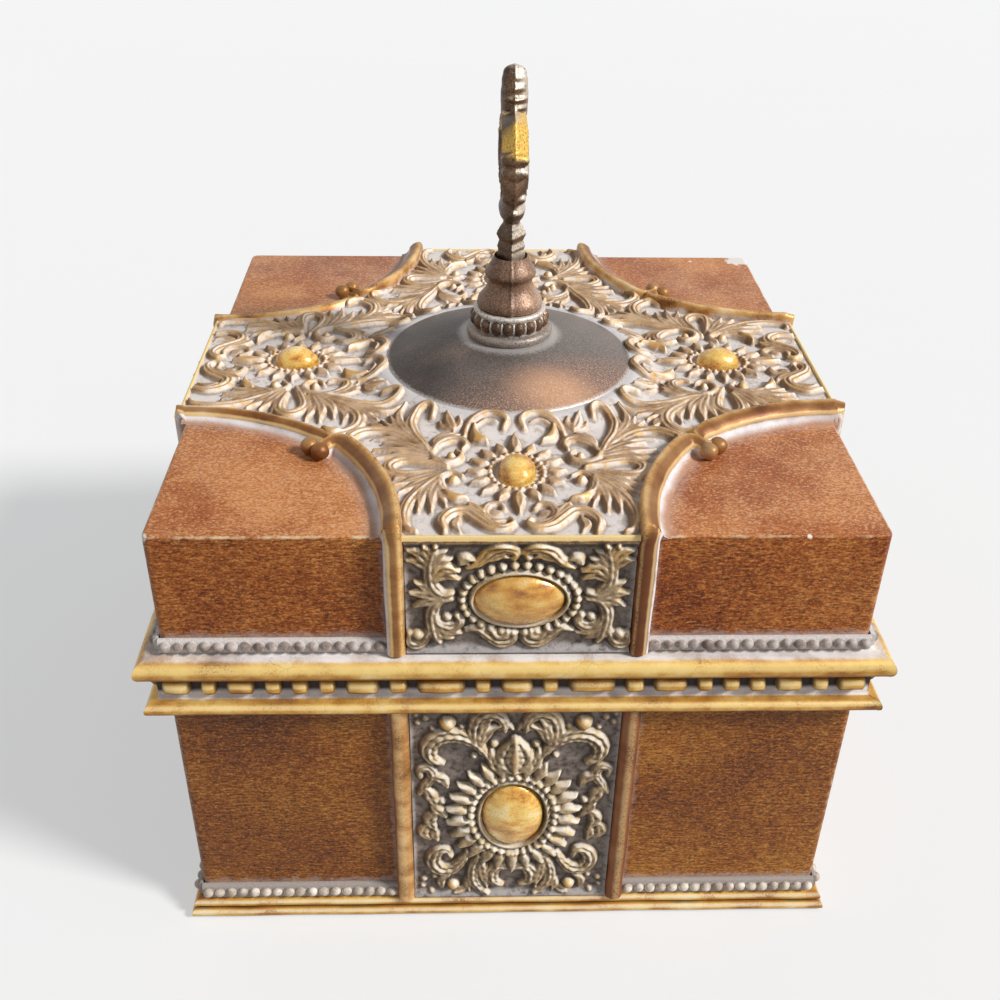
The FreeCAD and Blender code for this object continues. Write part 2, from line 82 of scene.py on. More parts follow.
def primitive(name, operator, **settings):  # adds a primitive and puts its place in its mesh
    clearSelection()
    operator(**settings)
    bpy.ops.object.transform_apply(location=True, rotation=True, scale=True)
    return rename(bpy.context.object, name)


def sphere(name, segments, rings, radius, at=(0, 0, 0), tilt=0.0):
    return primitive(name, bpy.ops.mesh.primitive_uv_sphere_add, segments=segments, ring_count=rings,
                     radius=radius * mm, location=Vector(at) * mm, rotation=(0, tilt, 0))


def block(name, middle, size):
    return primitive(name, bpy.ops.mesh.primitive_cube_add, size=1, location=Vector(middle) * mm,
                     scale=Vector(size) * mm)


def sheet(name, across, up):  # a grid that its points are given to afterwards
    return primitive(name, bpy.ops.mesh.primitive_grid_add, x_subdivisions=across, y_subdivisions=up, size=1)


def edit(piece, action="SELECT", mode=(True, False, False)):
    takeUp(piece)
    bpy.context.tool_settings.mesh_select_mode = mode
    bpy.ops.object.mode_set(mode="EDIT")
    bpy.ops.mesh.select_all(action=action)


def leaveEdit():
    bpy.ops.object.mode_set(mode="OBJECT")


def vectors(items, name):  # one vector for every item of a mesh
    flat = np.empty(len(items) * 3)
    items.foreach_get(name, flat)
    return flat.reshape(-1, 3)


def pointsOf(piece):
    return vectors(piece.data.vertices, "co") / mm


def normalsOf(piece):
    return vectors(piece.data.vertices, "normal")


def faceMiddles(piece):
    return vectors(piece.data.polygons, "center") / mm


def setPoints(piece, points):
    piece.data.vertices.foreach_set("co", (np.asarray(points) * mm).ravel())
    piece.data.update()


def removeFaces(piece, unwanted):
    edit(piece, "DESELECT", (False, False, True))
    leaveEdit()
    piece.data.polygons.foreach_set("select", unwanted)
    bpy.ops.object.mode_set(mode="EDIT")
    bpy.ops.mesh.delete(type="FACE")
    leaveEdit()


def bevelEdges(piece, wanted, width, segments):
    edit(piece, "DESELECT", (False, True, False))
    leaveEdit()
    points = pointsOf(piece)
    for edge in piece.data.edges:
        edge.select = bool(wanted(points[edge.vertices[0]], points[edge.vertices[1]]))
    bpy.ops.object.mode_set(mode="EDIT")
    bpy.ops.mesh.bevel(offset=width * mm, segments=segments, affect="EDGES")
    leaveEdit()


def cut(piece, at, normal, close=True):  # takes off the side that the normal points to
    edit(piece)
    bpy.ops.mesh.bisect(plane_co=Vector(at) * mm, plane_no=normal, use_fill=close, clear_outer=True)
    leaveEdit()


def mitre(piece, close=True):  # a front piece keeps to the front quarter of the plan
    for way in ((1, 1, 0), (-1, 1, 0)):
        cut(piece, (0, 0, 0), way, close)


def faceOut(piece, merge=0.0):
    edit(piece)
    if merge:
        bpy.ops.mesh.remove_doubles(threshold=merge)
    bpy.ops.mesh.normals_make_consistent(inside=False)
    leaveEdit()


def smooth(piece, angle):
    takeUp(piece)
    bpy.ops.object.shade_smooth_by_angle(angle=math.radians(angle))


def joined(name, *pieces):
    takeUp(pieces[0])
    for other in pieces[1:]:
        other.select_set(True)
    if len(pieces) > 1:
        bpy.ops.object.join()
    return rename(pieces[0], name)


def twin(piece, name, change):  # a copy with its own mesh, moved by a matrix
    takeUp(piece)
    bpy.ops.object.duplicate()
    copy = rename(bpy.context.object, name)
    copy.data.transform(change)
    if change.determinant() < 0:
        copy.data.flip_normals()
    return copy


def mirrored(name, right):  # a piece joined with its mirror image
    return joined(name, right, twin(right, "left", Matrix.Scale(-1, 4, (1, 0, 0))))


def fourSides(piece, stem):  # the front piece and its copies on the other three sides
    sides = {"front": piece}
    for side, turn in turns.items():
        if side != "front":
            sides[side] = twin(piece, stem + "_" + side + "_shown", Matrix.Rotation(turn, 4, "Z"))
    rename(piece, stem + "_front_shown")
    return sides


def dress(piece, body, finish, slot, *nodes):
    rename(piece, piece.name.split(".")[0].removesuffix("_shown") + "_shown")
    paintWith(piece, finish)
    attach(piece, body)
    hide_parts(*nodes)


def dressSides(sides, body, finish, slot, stem):
    for side, piece in sides.items():
        dress(piece, body, finish, slot, stem + "_" + side)


def paintWith(piece, finish):
    piece.data.materials.clear()
    piece.data.materials.append(finish)


def ripple(points, length, seed):  # smooth seeded unevenness, about -1 to 1
    draw = np.random.default_rng(seed)
    total = np.zeros(len(points))
    for wave in range(7):
        way = draw.normal(size=3)
        way *= 2 * math.pi * draw.uniform(0.6, 1.5) / length / np.linalg.norm(way)
        total += np.sin(points @ way + draw.uniform(0, 6.3))
    return total / 3


def roughen(piece, amount, length, seed):  # pushes the surface in and out a little
    points = pointsOf(piece)
    push = amount * ripple(points, length, seed)
    setPoints(piece, points + normalsOf(piece) * push[:, None])


def arcPoints(middle, radius, start, stop, count):  # degrees from the outward way, towards up
    turn = np.radians(np.linspace(start, stop, count))
    return [(middle[0] + radius * math.cos(t), middle[1] + radius * math.sin(t)) for t in turn]


def moulding(name, section, steps=64):  # a front moulding of (out, z) points with mitred ends
    reach = max(out for out, z in section)
    piece = primitive(name, bpy.ops.mesh.primitive_circle_add, vertices=len(section), fill_type="NGON")
    setPoints(piece, [(-reach, -out, z) for out, z in section])
    edit(piece)
    for step in range(steps):
        bpy.ops.mesh.extrude_region_move(TRANSFORM_OT_translate={"value": (2 * reach / steps * mm, 0, 0)})
    leaveEdit()
    faceOut(piece, 1e-6)
    mitre(piece)
    return piece


def keep(piece, name, values):  # a value for every point, for the finish to read
    values = np.full(len(piece.data.vertices), values, np.float32)
    piece.data.attributes.new(name, "FLOAT", "POINT").data.foreach_set("value", values)


def sweep(name, rings, paint):  # a tube through closed rings of points, both ends closed
    rings = np.asarray(rings, float)
    count, around = rings.shape[:2]
    piece = sheet(name, around, count - 1)
    setPoints(piece, np.concatenate([rings, rings[:, :1]], axis=1).reshape(-1, 3))
    keep(piece, "paint", np.tile(np.append(paint, paint[0]), count))
    edit(piece)
    bpy.ops.mesh.remove_doubles(threshold=1e-7)
    bpy.ops.mesh.fill_holes(sides=0)
    bpy.ops.mesh.normals_make_consistent(inside=False)
    leaveEdit()
    return piece


def lathe(name, profile, steps=96):  # (radius, z) points spun round the upright axis
    piece = primitive(name, bpy.ops.mesh.primitive_circle_add, vertices=len(profile) + 1)
    setPoints(piece, [(radius, 0, z) for radius, z in profile] + [(0, 0, profile[0][1])])
    edit(piece)
    bpy.ops.mesh.spin(steps=steps, angle=2 * math.pi, center=(0, 0, 0), axis=(0, 0, 1))
    leaveEdit()
    faceOut(piece, 1e-6)
    return piece


# Finishes: a wire carries a socket through sums, a finish is one material

class Wire:
    def __init__(self, finish, socket):
        self.finish = finish
        self.socket = socket

    def maths(self, operation, first, second=0.0):
        return self.finish.add("ShaderNodeMath", {"operation": operation}, {0: first, 1: second})

    def __add__(self, other):
        return self.maths("ADD", self, other)

    def __sub__(self, other):
        return self.maths("SUBTRACT", self, other)

    def __rsub__(self, other):
        return self.maths("SUBTRACT", other, self)

    def __mul__(self, other):
        return self.maths("MULTIPLY", self, other)

    def __abs__(self):
        return self.maths("ABSOLUTE", self)

    def larger(self, other):
        return self.maths("MAXIMUM", self, other)

    def smaller(self, other):
        return self.maths("MINIMUM", self, other)


def tint(code):  # a paint colour by its usual six digits
    parts = [int(code[place:place + 2], 16) / 255 for place in (0, 2, 4)]
    linear = [part / 12.92 if part < 0.04045 else ((part + 0.055) / 1.055) ** 2.4 for part in parts]
    return (*linear, 1.0)


class Finish:
    def __init__(self, name, specular=0.5, **fixed):
        self.material = bpy.data.materials.new(name)
        self.material.use_nodes = True
        self.tree = self.material.node_tree
        self.shader = self.tree.nodes["Principled BSDF"]
        self.shader.inputs["Specular IOR Level"].default_value = specular
        for socket, value in fixed.items():
            self.shader.inputs[socket.replace("_", " ")].default_value = value
        coordinates = self.add("ShaderNodeTexCoord", out="Object")
        self.at = self.vector("SCALE", {"Vector": coordinates, "Scale": 1 / mm})
        self.x, self.y, self.z = [self.add("ShaderNodeSeparateXYZ", {}, {0: self.at}, axis) for axis in "XYZ"]
        self.colour = None  # paint laid so far

    def add(self, kind, settings=None, sockets=None, out=0):
        node = self.tree.nodes.new(kind)
        for key, value in (settings or {}).items():
            setattr(node, key, value)
        for key, value in (sockets or {}).items():
            if isinstance(value, Wire):
                self.tree.links.new(value.socket, node.inputs[key])
            else:
                node.inputs[key].default_value = value
        return Wire(self, node.outputs[out])

    def vector(self, operation, sockets, out=0):
        return self.add("ShaderNodeVectorMath", {"operation": operation}, sockets, out)

    def stretched(self, where, stretch):
        return self.add("ShaderNodeMapping", {}, {"Vector": where, "Scale": stretch})

    def noise(self, scale, detail=3.0, stretch=(1, 1, 1)):  # scale is per millimetre
        where = self.stretched(self.at, stretch)
        sockets = {"Vector": where, "Scale": scale, "Detail": detail, "Roughness": 0.55}
        return self.add("ShaderNodeTexNoise", {}, sockets)

    def cracks(self, scale, stretch, wander=0.6):  # distance to the nearest crack line
        sockets = {"Vector": self.at, "Scale": scale * 1.7, "Detail": 3.0}
        bend = self.add("ShaderNodeTexNoise", {}, sockets, "Color")
        bent = self.vector("MULTIPLY_ADD", {0: bend, 1: (wander / scale,) * 3, 2: self.at})
        sockets = {"Vector": self.stretched(bent, stretch), "Scale": scale}
        return self.add("ShaderNodeTexVoronoi", {"feature": "DISTANCE_TO_EDGE"}, sockets)

    def step(self, value, low, high):  # smooth 0 to 1, or 1 to 0 when low is over high
        ends = {1: low, 2: high, 3: 0.0, 4: 1.0} if low < high else {1: high, 2: low, 3: 1.0, 4: 0.0}
        return self.add("ShaderNodeMapRange", {"interpolation_type": "SMOOTHSTEP"}, {0: value, **ends})

    def outward(self):  # distance from the middle of the box towards the nearest wall
        return abs(self.x).larger(abs(self.y))

    def plan(self, x, y):
        return self.add("ShaderNodeCombineXYZ", {}, {0: x, 1: y})

    def away(self, where, place):
        return self.vector("DISTANCE", {0: where, 1: place}, "Value")

    def own(self, name):  # a value kept in the piece's own mesh
        return self.add("ShaderNodeAttribute", {"attribute_name": name}, out="Fac")

    def mix(self, share, first, second):
        first, second = [tint(colour) if isinstance(colour, str) else colour for colour in (first, second)]
        return self.add("ShaderNodeMix", {"data_type": "RGBA"}, {0: share, 6: first, 7: second}, 2)

    def over(self, share, colour):  # lays a colour over the paint so far
        self.colour = self.mix(share, self.colour, colour)

    def blend(self, value, places, codes):  # colours along a value
        wire = self.add("ShaderNodeValToRGB", {}, {0: value})
        ramp = wire.socket.node.color_ramp.elements
        first, *middle, last = [(place, tint(code)) for place, code in zip(places, codes)]
        for stop, (place, colour) in ((ramp[0], first), (ramp[1], last)):
            stop.position, stop.color = place, colour
        for place, colour in middle:
            ramp.new(place).color = colour
        return wire

    def bump(self, height, distance, strength):
        sockets = {"Height": height, "Distance": distance * mm, "Strength": strength}
        return self.add("ShaderNodeBump", {}, sockets)

    def wear(self, **links):  # what changes over the surface, beside the paint
        for socket, value in {"Base_Color": self.colour, **links}.items():
            self.tree.links.new(value.socket, self.shader.inputs[socket.replace("_", " ")])
        return self.material


def woodFinish(name, tones, isLid):
    f = Finish(name, 0.25)
    pebble = f.noise(1.7, 4.0, (0.7, 0.7, 1.2))
    grain = f.noise(1.5, 5.0, (0.25, 0.7, 1.0) if isLid else (0.2, 0.2, 1.0))
    patch = f.noise(0.03, 2.0)
    fine = f.noise(4.5, 2.0)
    f.colour = f.blend(pebble * 0.5 + grain * 0.45 + patch * 0.45 + fine * 0.2, (0.66, 0.8, 0.94), tones)
    onTop = f.step(f.z, lidTop - 0.4, lidTop - 0.1)
    dash = f.noise(1.4, 3.0, (0.3, 0.3, 2.0)) + f.noise(0.06, 2.0) * 0.35
    crackle = f.step(dash, 0.72, 0.82) * (1 - onTop * 0.85)
    f.over(crackle * 0.55, "341506")
    crack = f.step(f.cracks(0.5, (0.45, 0.45, 1.0)), 0.035, 0.0)
    crack = crack * f.step(f.noise(0.09, 2.0), 0.5, 0.62) * (1 - onTop)
    f.over(crack * 0.5, "2e1306")
    f.over(f.step(fine + pebble * 0.5, 0.86, 0.98) * 0.5, "d8a06a")
    if isLid:  # the top is redder, clouded and flecked
        cloud = f.step(f.noise(0.045), 0.38, 0.62)
        f.over(onTop * 0.5, f.mix(cloud, "a85e34", "d28c58"))
        fleck = f.step(f.noise(2.4, 3.0, (0.6, 0.9, 1.0)) + cloud * 0.06, 0.5, 0.68)
        f.over(onTop * fleck * 0.5, "f4c092")
    out = f.outward()
    beside = abs(f.x).smaller(abs(f.y))
    chip = f.noise(0.5)
    broken = f.step(f.noise(0.13), 0.42, 0.6)
    worn = f.step(abs(f.x) + abs(f.y) + chip * 1.2, half * 2 - 0.7, half * 2 - 0.3)
    if isLid:
        worn = worn.larger(f.step(out + f.z + chip * 0.8, half + lidTop - 0.25, half + lidTop))
        axes = (scrolls["axisX"], scrolls["axisY"], 0), (scrolls["axisY"], scrolls["axisX"], 0)
        around = [f.away(f.plan(abs(f.x), abs(f.y)), axis) for axis in axes]
        haze = f.step(around[0].larger(around[1]) + chip * 6.0, 53.5, 60.0) * onTop
        haze = haze.larger(f.step(f.z - chip * 4.0, lidRimTop + 3.6, lidRimTop + 1.4))
    else:
        haze = f.step(f.z - chip * 5.0, plinthTop + 4.6, plinthTop + 2.0)
    byStrip = f.step(beside - chip * 3.0, stripInner + 4.4, stripInner + 3.0)
    f.over(haze.larger(byStrip * f.step(out, half - 0.4, half - 0.1) * 0.7) * 0.42, "cdbfba")
    f.over(worn * broken * 0.8, "e6cfa8")
    if isLid:  # chips knocked out of the paint near the edges
        for x, y, size in ((80, 80, 5.5), (64, 79, 0.8), (64, -half, 1.0), (-half, -half, 2.2)):
            f.over(f.step(f.away(f.at, (x, y, lidTop)) + chip * size, size * 1.3, size * 1.1), "efe9e2")
    return f.wear(Roughness=f.step(patch + fine * 0.3, 0.2, 1.0) * 0.16 + 0.36,
                  Normal=f.bump(pebble * 0.6 + fine * 0.25 - crackle * 0.4 - crack * 0.6, 0.14, 0.8))


def giltFinish(name, paint):
    f = Finish(name, 0.35)
    streak = f.noise(0.2, 4.0, (0.6, 0.6, 1.0))
    fine = f.noise(2.2)
    patch = f.noise(0.07)
    tone = streak * 0.65 + patch * 0.55 + fine * 0.14 + 0.03
    f.colour = f.blend(tone, (0.5, 0.64, 0.76, 0.95), paint["golds"])
    crack = f.step(f.cracks(0.3, (0.5, 0.5, 0.5)), 0.016, 0.0) * f.step(patch, 0.54, 0.66)
    f.over(crack * 0.5, "3a1c08")
    gold = 1 - f.step(fine + patch, 1.05, 1.3) * 0.5
    white = f.mix(f.step(streak + fine * 0.3, 0.4, 0.8), "c6bebd", "f4f1f3")
    if "rightBrown" in paint:  # the strips right of the middle, in front and up to the lid's top, are painted much browner
        rightBrown = f.step(f.x, 0.0, 8.0) * f.step(f.y, -60.0, -80.0) * f.step(f.z, lidTop + 3.0, lidTop + 1.0)
        f.over(rightBrown * paint["rightBrown"], f.mix(streak, "421602", "9c5216"))
        gold = gold * (1 - rightBrown * 0.6)
    if "washAbove" in paint:
        wash = f.step(f.z + streak * 0.5, paint["washAbove"], paint["washAbove"] + 0.5)
        f.over(wash * 0.9, white)
        gold = gold * (1 - wash)
    if "bandOut" in paint:  # the flat band behind the reels: painted shade in the gaps between the reels, whitewash on its lower part
        flat = f.step(f.outward(), paint["bandOut"] + 0.7, paint["bandOut"] + 0.2)
        pale = f.step(f.z + streak * 1.5, seam - 3.2, seam - 4.8)
        f.over(flat, f.mix(pale, f.mix(fine, "1e130c", "463428"), white))
        gold = gold * (1 - flat)
    if "across" in paint:  # painted by the place across the section: whitewash on the inner flank, a painted highlight along the crest, painted shade on the outer flank, a gold edge line, the cove
        place = f.own("paint") + (streak - 0.5) * 0.06
        inner = f.step(place, 0.16, 0.06) * f.step(streak + fine * 0.3, 0.5, 0.75)
        inner = inner * f.step(f.z, lidTop + 0.2, lidTop + 0.8)
        edge = f.step(place, 0.56, 0.62).smaller(f.step(place, 0.72, 0.66))
        # painted shade on the outer flank; the volute balls, kept at 0.4, take some of this brown as their
        # own colour
        flanks = f.step(place, 0.32, 0.44).smaller(f.step(place, 0.62, 0.54))
        f.over(flanks * 0.75, f.mix(streak, "4a2410", "8a5228"))
        # a painted highlight along the crest
        crest = f.step(abs(place - 0.27), 0.09, 0.02) * f.step(fine + streak * 0.5, 0.55, 0.85)
        f.over(crest * 0.4, "f8dca0")
        cove = f.step(place, 0.68, 0.76)
        f.over(edge * 0.6, "f0d49a")
        f.over(inner * 0.85, white)
        fade = f.step(place + (fine - 0.5) * 0.2 + (patch - 0.5) * 0.3, 0.76, 1.0)
        f.over(cove, f.mix(fade, white, "bc8e72"))
        gold = gold * (1 - cove) * (1 - inner)
    for level, reach, code, share in paint.get("lines", ()):  # painted shade on the undersides and in the grooves, painted highlights on the crests
        near = f.step(abs(f.z + (streak - 0.5) * 0.5 - level), reach, reach * 0.2)
        f.over(near * f.step(fine * 0.5 + streak * 0.6, 0.3, 0.55) * share, code)
    if "ends" in paint:
        # painted shade at the ends of each reel, where they turn into the gaps
        end = f.step(f.own("paint") + (fine - 0.5) * 0.3, 0.62, 0.98)
        f.over(end * 0.8, "3d2616")
        gold = gold * (1 - end * 0.7)
    return f.wear(Metallic=gold * 0.3, Roughness=0.52 - gold * 0.16 + fine * 0.1,
                  Normal=f.bump(fine * 0.3 + streak - crack * 0.7, 0.12, 0.7))


def beadFinish():
    f = Finish("greyBeads", 0.4)
    fine = f.noise(2.2)
    patch = f.noise(0.25, 2.0)
    low = f.step(f.z, 40.0, 30.0)  # the row at the foot is paler than the lid's
    dark = f.mix(low, "76645c", "a89888")
    f.colour = f.mix(f.step(patch + fine * 0.4, 0.5, 0.9), dark, f.mix(low, "c2b8b2", "eee4d6"))
    slip = f.step(f.outward() + fine * 0.5, half + 1.9, half + 1.3)
    f.over(slip, f.mix(low * 0.55, f.mix(fine, "a9a19c", "efebe9"), "6e5c50"))
    return f.wear(Roughness=fine * 0.2 + 0.45, Normal=f.bump(fine, 0.08, 0.6))


def carvedFinish(name, paint):
    f = Finish(name, 0.45)
    keys = "rise", "hollow", "gilt", "wash", "beside", "lean"
    rise, hollow, gilt, wash, beside, leaning = [f.own(key) for key in keys]
    fine = f.noise(2.4)
    patch = f.noise(0.16)
    smear = f.noise(0.5)
    f.colour = f.mix(f.step(smear + fine * 0.3, *paint["groundRange"]), paint["groundDark"], paint["ground"])
    # dirt and painted shade on the ground next to the raised strokes
    f.over(beside * 0.5, paint["groundDark"])
    f.over(wash * f.step(smear + fine * 0.4, 0.35, 0.7), "d6d2d2")
    raised = f.step(rise + (fine - 0.5) * 0.25, 0.1, 0.4)
    f.over(raised, f.mix(f.step(patch + fine * 0.3, 0.45, 0.85), paint["flank"], paint["body"]))
    lit = f.step(rise * 0.8 - hollow * 0.5 + (smear - 0.5) * 0.8 + (fine - 0.5) * 0.3, 0.3, 1.0) * 0.5
    f.over(lit, f.mix(f.step(smear, 0.4, 0.62), paint["body"], paint["goldCrest"]))
    # dark brown in the grooves: antique patina and painted shade
    groove = f.step(hollow + (fine - 0.5) * 0.25, 0.06, 0.4) * raised.larger(0.5)
    f.over(groove * 0.85, paint["groove"])
    f.over(gilt * f.step(fine * 0.6 + smear * 0.6 - hollow * 0.8, 0.42, 0.8) * 0.85, "d6a656")
    # painted highlight on slopes leaning towards the light, painted shade on slopes leaning away
    sunny = f.step(leaning + (fine - 0.5) * 0.25, 0.1, 0.5) * raised
    f.over(sunny * 0.7, f.mix(f.step(smear, 0.45, 0.65), paint["crest"], paint["goldCrest"]))
    f.over(f.step(leaning + (fine - 0.5) * 0.25, -0.08, -0.5) * 0.8, paint["lee"])
    if "edge" in paint:  # a bright gold line along the outer edge, painted shade in brown gold on the face below it
        out, edge = f.outward(), paint["edge"]
        f.over(f.step(out + smear * 0.2, edge - 0.9, edge - 0.6) * 0.85, "f6d894")
        below = f.step(f.z + smear * 0.6, lidTop + 0.8, lidTop + 0.4) * f.step(out, edge - 0.12, edge - 0.04)
        f.over(below, f.mix(smear, "5a3412", "b07c3c"))
    return f.wear(Metallic=lit * 0.25 + gilt * 0.25, Roughness=0.6 - lit * 0.22 + fine * 0.08,
                  Normal=f.bump(fine + smear * 0.6, 0.14, 0.8))


def bossFinish():
    f = Finish("bossGold", 0.6, Coat_Weight=0.5, Coat_Roughness=0.12)
    swirl = f.noise(0.3, 5.0, (0.6, 0.6, 1.4))
    fine = f.noise(1.8)
    tones = "94561a", "e2a23a", "fad272", "fff4d2"
    f.colour = f.blend(swirl * 0.9 + fine * 0.16, (0.34, 0.46, 0.6, 0.8), tones)
    onSkirt = f.step(f.z, 90.0, 96.0).smaller(f.step(f.z, 122.0, 118.0))
    f.over(onSkirt * 0.4, f.mix(swirl, "8a4a10", "d89030"))
    return f.wear(Metallic=f.step(swirl, 0.3, 0.6) * 0.15 + 0.1, Roughness=fine * 0.2 + 0.18,
                  Normal=f.bump(swirl + fine * 0.3, 0.25, 0.6))


def bronzeFinish(name, paint):
    f = Finish(name)
    fine = f.noise(2.0, 4.0)
    patch = f.noise(0.06)
    speck = f.step(f.noise(2.6) + f.step(patch, 0.4, 0.7) * 0.1, 0.54, 0.7)
    f.colour = f.blend(fine * 0.5 + patch * 0.7, (0.45, 0.7, 0.95), paint["tones"])
    f.over(speck * paint.get("speckShare", 0.5), paint["speck"])
    if "halo" in paint:  # white round the foot of the collar and at the rim, painted light on the right and front, copper worn through in front with a painted highlight on it
        radius = f.vector("LENGTH", {0: f.plan(f.x, f.y)}, "Value")
        # painted light: lighter towards the right and front, darker on the left
        bright = f.step(f.x - f.y * 0.5 + patch * 14.0, -12.0, 26.0)
        f.over(bright * 0.42, f.mix(fine, "746a64", "c6beb9"))
        fleck = f.noise(2.8, 2.0)
        f.over(f.step(fleck, 0.48, 0.36) * 0.5, "3a2f29")
        worn = f.step(f.x * 0.5 - f.y + patch * 8.0, 19.0, 34.0) * f.step(fine, 0.3, 0.65)
        f.over(worn * 0.55, "a87456")
        # a painted highlight in copper tones at the front, where the light reflects
        glow = f.step(f.away(f.plan(f.x * 0.7, f.y), (8, -26, 0)) + fine * 5.0, 14.0, 4.0)
        f.over(glow * 0.7, f.mix(fine, "c07a50", "f8d0a8"))
        # pale flecks on the worn copper, and some on the painted light
        f.over((worn + bright * 0.3) * f.step(fleck, 0.54, 0.64) * 0.5, "f0c8aa")
        wash = f.step(radius + fine * 1.6, 33.4, 34.6).larger(f.step(radius - fine * 3.0, 13.4, 10.8) * 0.8)
        f.over(wash * 0.7, "d6d0cd")
    if "paint" in paint:  # pale on the collar's upper lip and ribs, worn; a painted highlight on the handle's faces towards the light; gold at the height of the handle's opening
        pale = f.own("paint") * f.step(fine, 0.2, 0.6)
        level = f.step(abs(f.z - goldLevel + patch * 2.0), 6.0, 3.0)
        f.over(pale * 0.9, f.mix(level, paint["paint"], "f8c85a"))
    return f.wear(Metallic=speck * 0.2 + 0.3, Roughness=fine * 0.25 + 0.3, Normal=f.bump(fine, 0.14, 0.7))


def plainFinish(name, first, second, scale, stretch=(1, 1, 1), roughness=0.6, metallic=0.0):
    f = Finish(name, Metallic=metallic)
    streak = f.noise(scale, 4.0, stretch)
    f.colour = f.mix(f.step(streak, 0.3, 0.7), first, second)
    return f.wear(Roughness=streak * 0.2 + (roughness - 0.1), Normal=f.bump(streak, 0.1, 0.6))


# Carving: strokes laid on a height field, then given to a fine grid

def smoothPath(points, spacing=0.25):  # a smooth line through given points, sampled evenly
    p = np.array(points, float)
    if len(p) > 2:
        ends = np.vstack([2 * p[0] - p[1], p, 2 * p[-1] - p[-2]])
        t = np.linspace(0, 1, 12, endpoint=False)[:, None]
        spans = [0.5 * (2 * b + (c - a) * t + (2 * a - 5 * b + 4 * c - d) * t ** 2
                        + (3 * b - a - 3 * c + d) * t ** 3)
                 for a, b, c, d in zip(ends, ends[1:], ends[2:], ends[3:])]
        p = np.vstack(spans + [p[-1:]])
    run = np.concatenate([[0], np.cumsum(np.linalg.norm(np.diff(p, axis=0), axis=1))])
    at = np.linspace(0, run[-1], max(3, int(run[-1] / spacing) + 1))
    return np.column_stack([np.interp(at, run, p[:, 0]), np.interp(at, run, p[:, 1])])


def roll(q):  # cross sections, q from -1 to 1 over the stroke's width
    return np.sqrt(1 - q * q)


def leaf(q):  # rounded, with a vein cut down the middle
    return roll(q) * (1 - 0.3 * np.exp(-(q / 0.2) ** 2))


def fluted(q):  # three ridges side by side
    return roll(q) * (0.83 + 0.17 * np.cos(q * 3 * math.pi))


def ridge(q):  # two flat facets that meet in a line
    return 1 - abs(q)


def swell(width, root=0.35):  # half widths of a leaf, from root to tip
    t = np.linspace(0, 1, 9)
    return width * (np.sin(math.pi * t ** 0.8) * 0.9 + (1 - t) ** 3 * root + t ** 6 * 0.2 + 0.06)


def circle(across, up, middle, angles):
    return [(across * math.cos(t), middle + up * math.sin(t)) for t in angles]


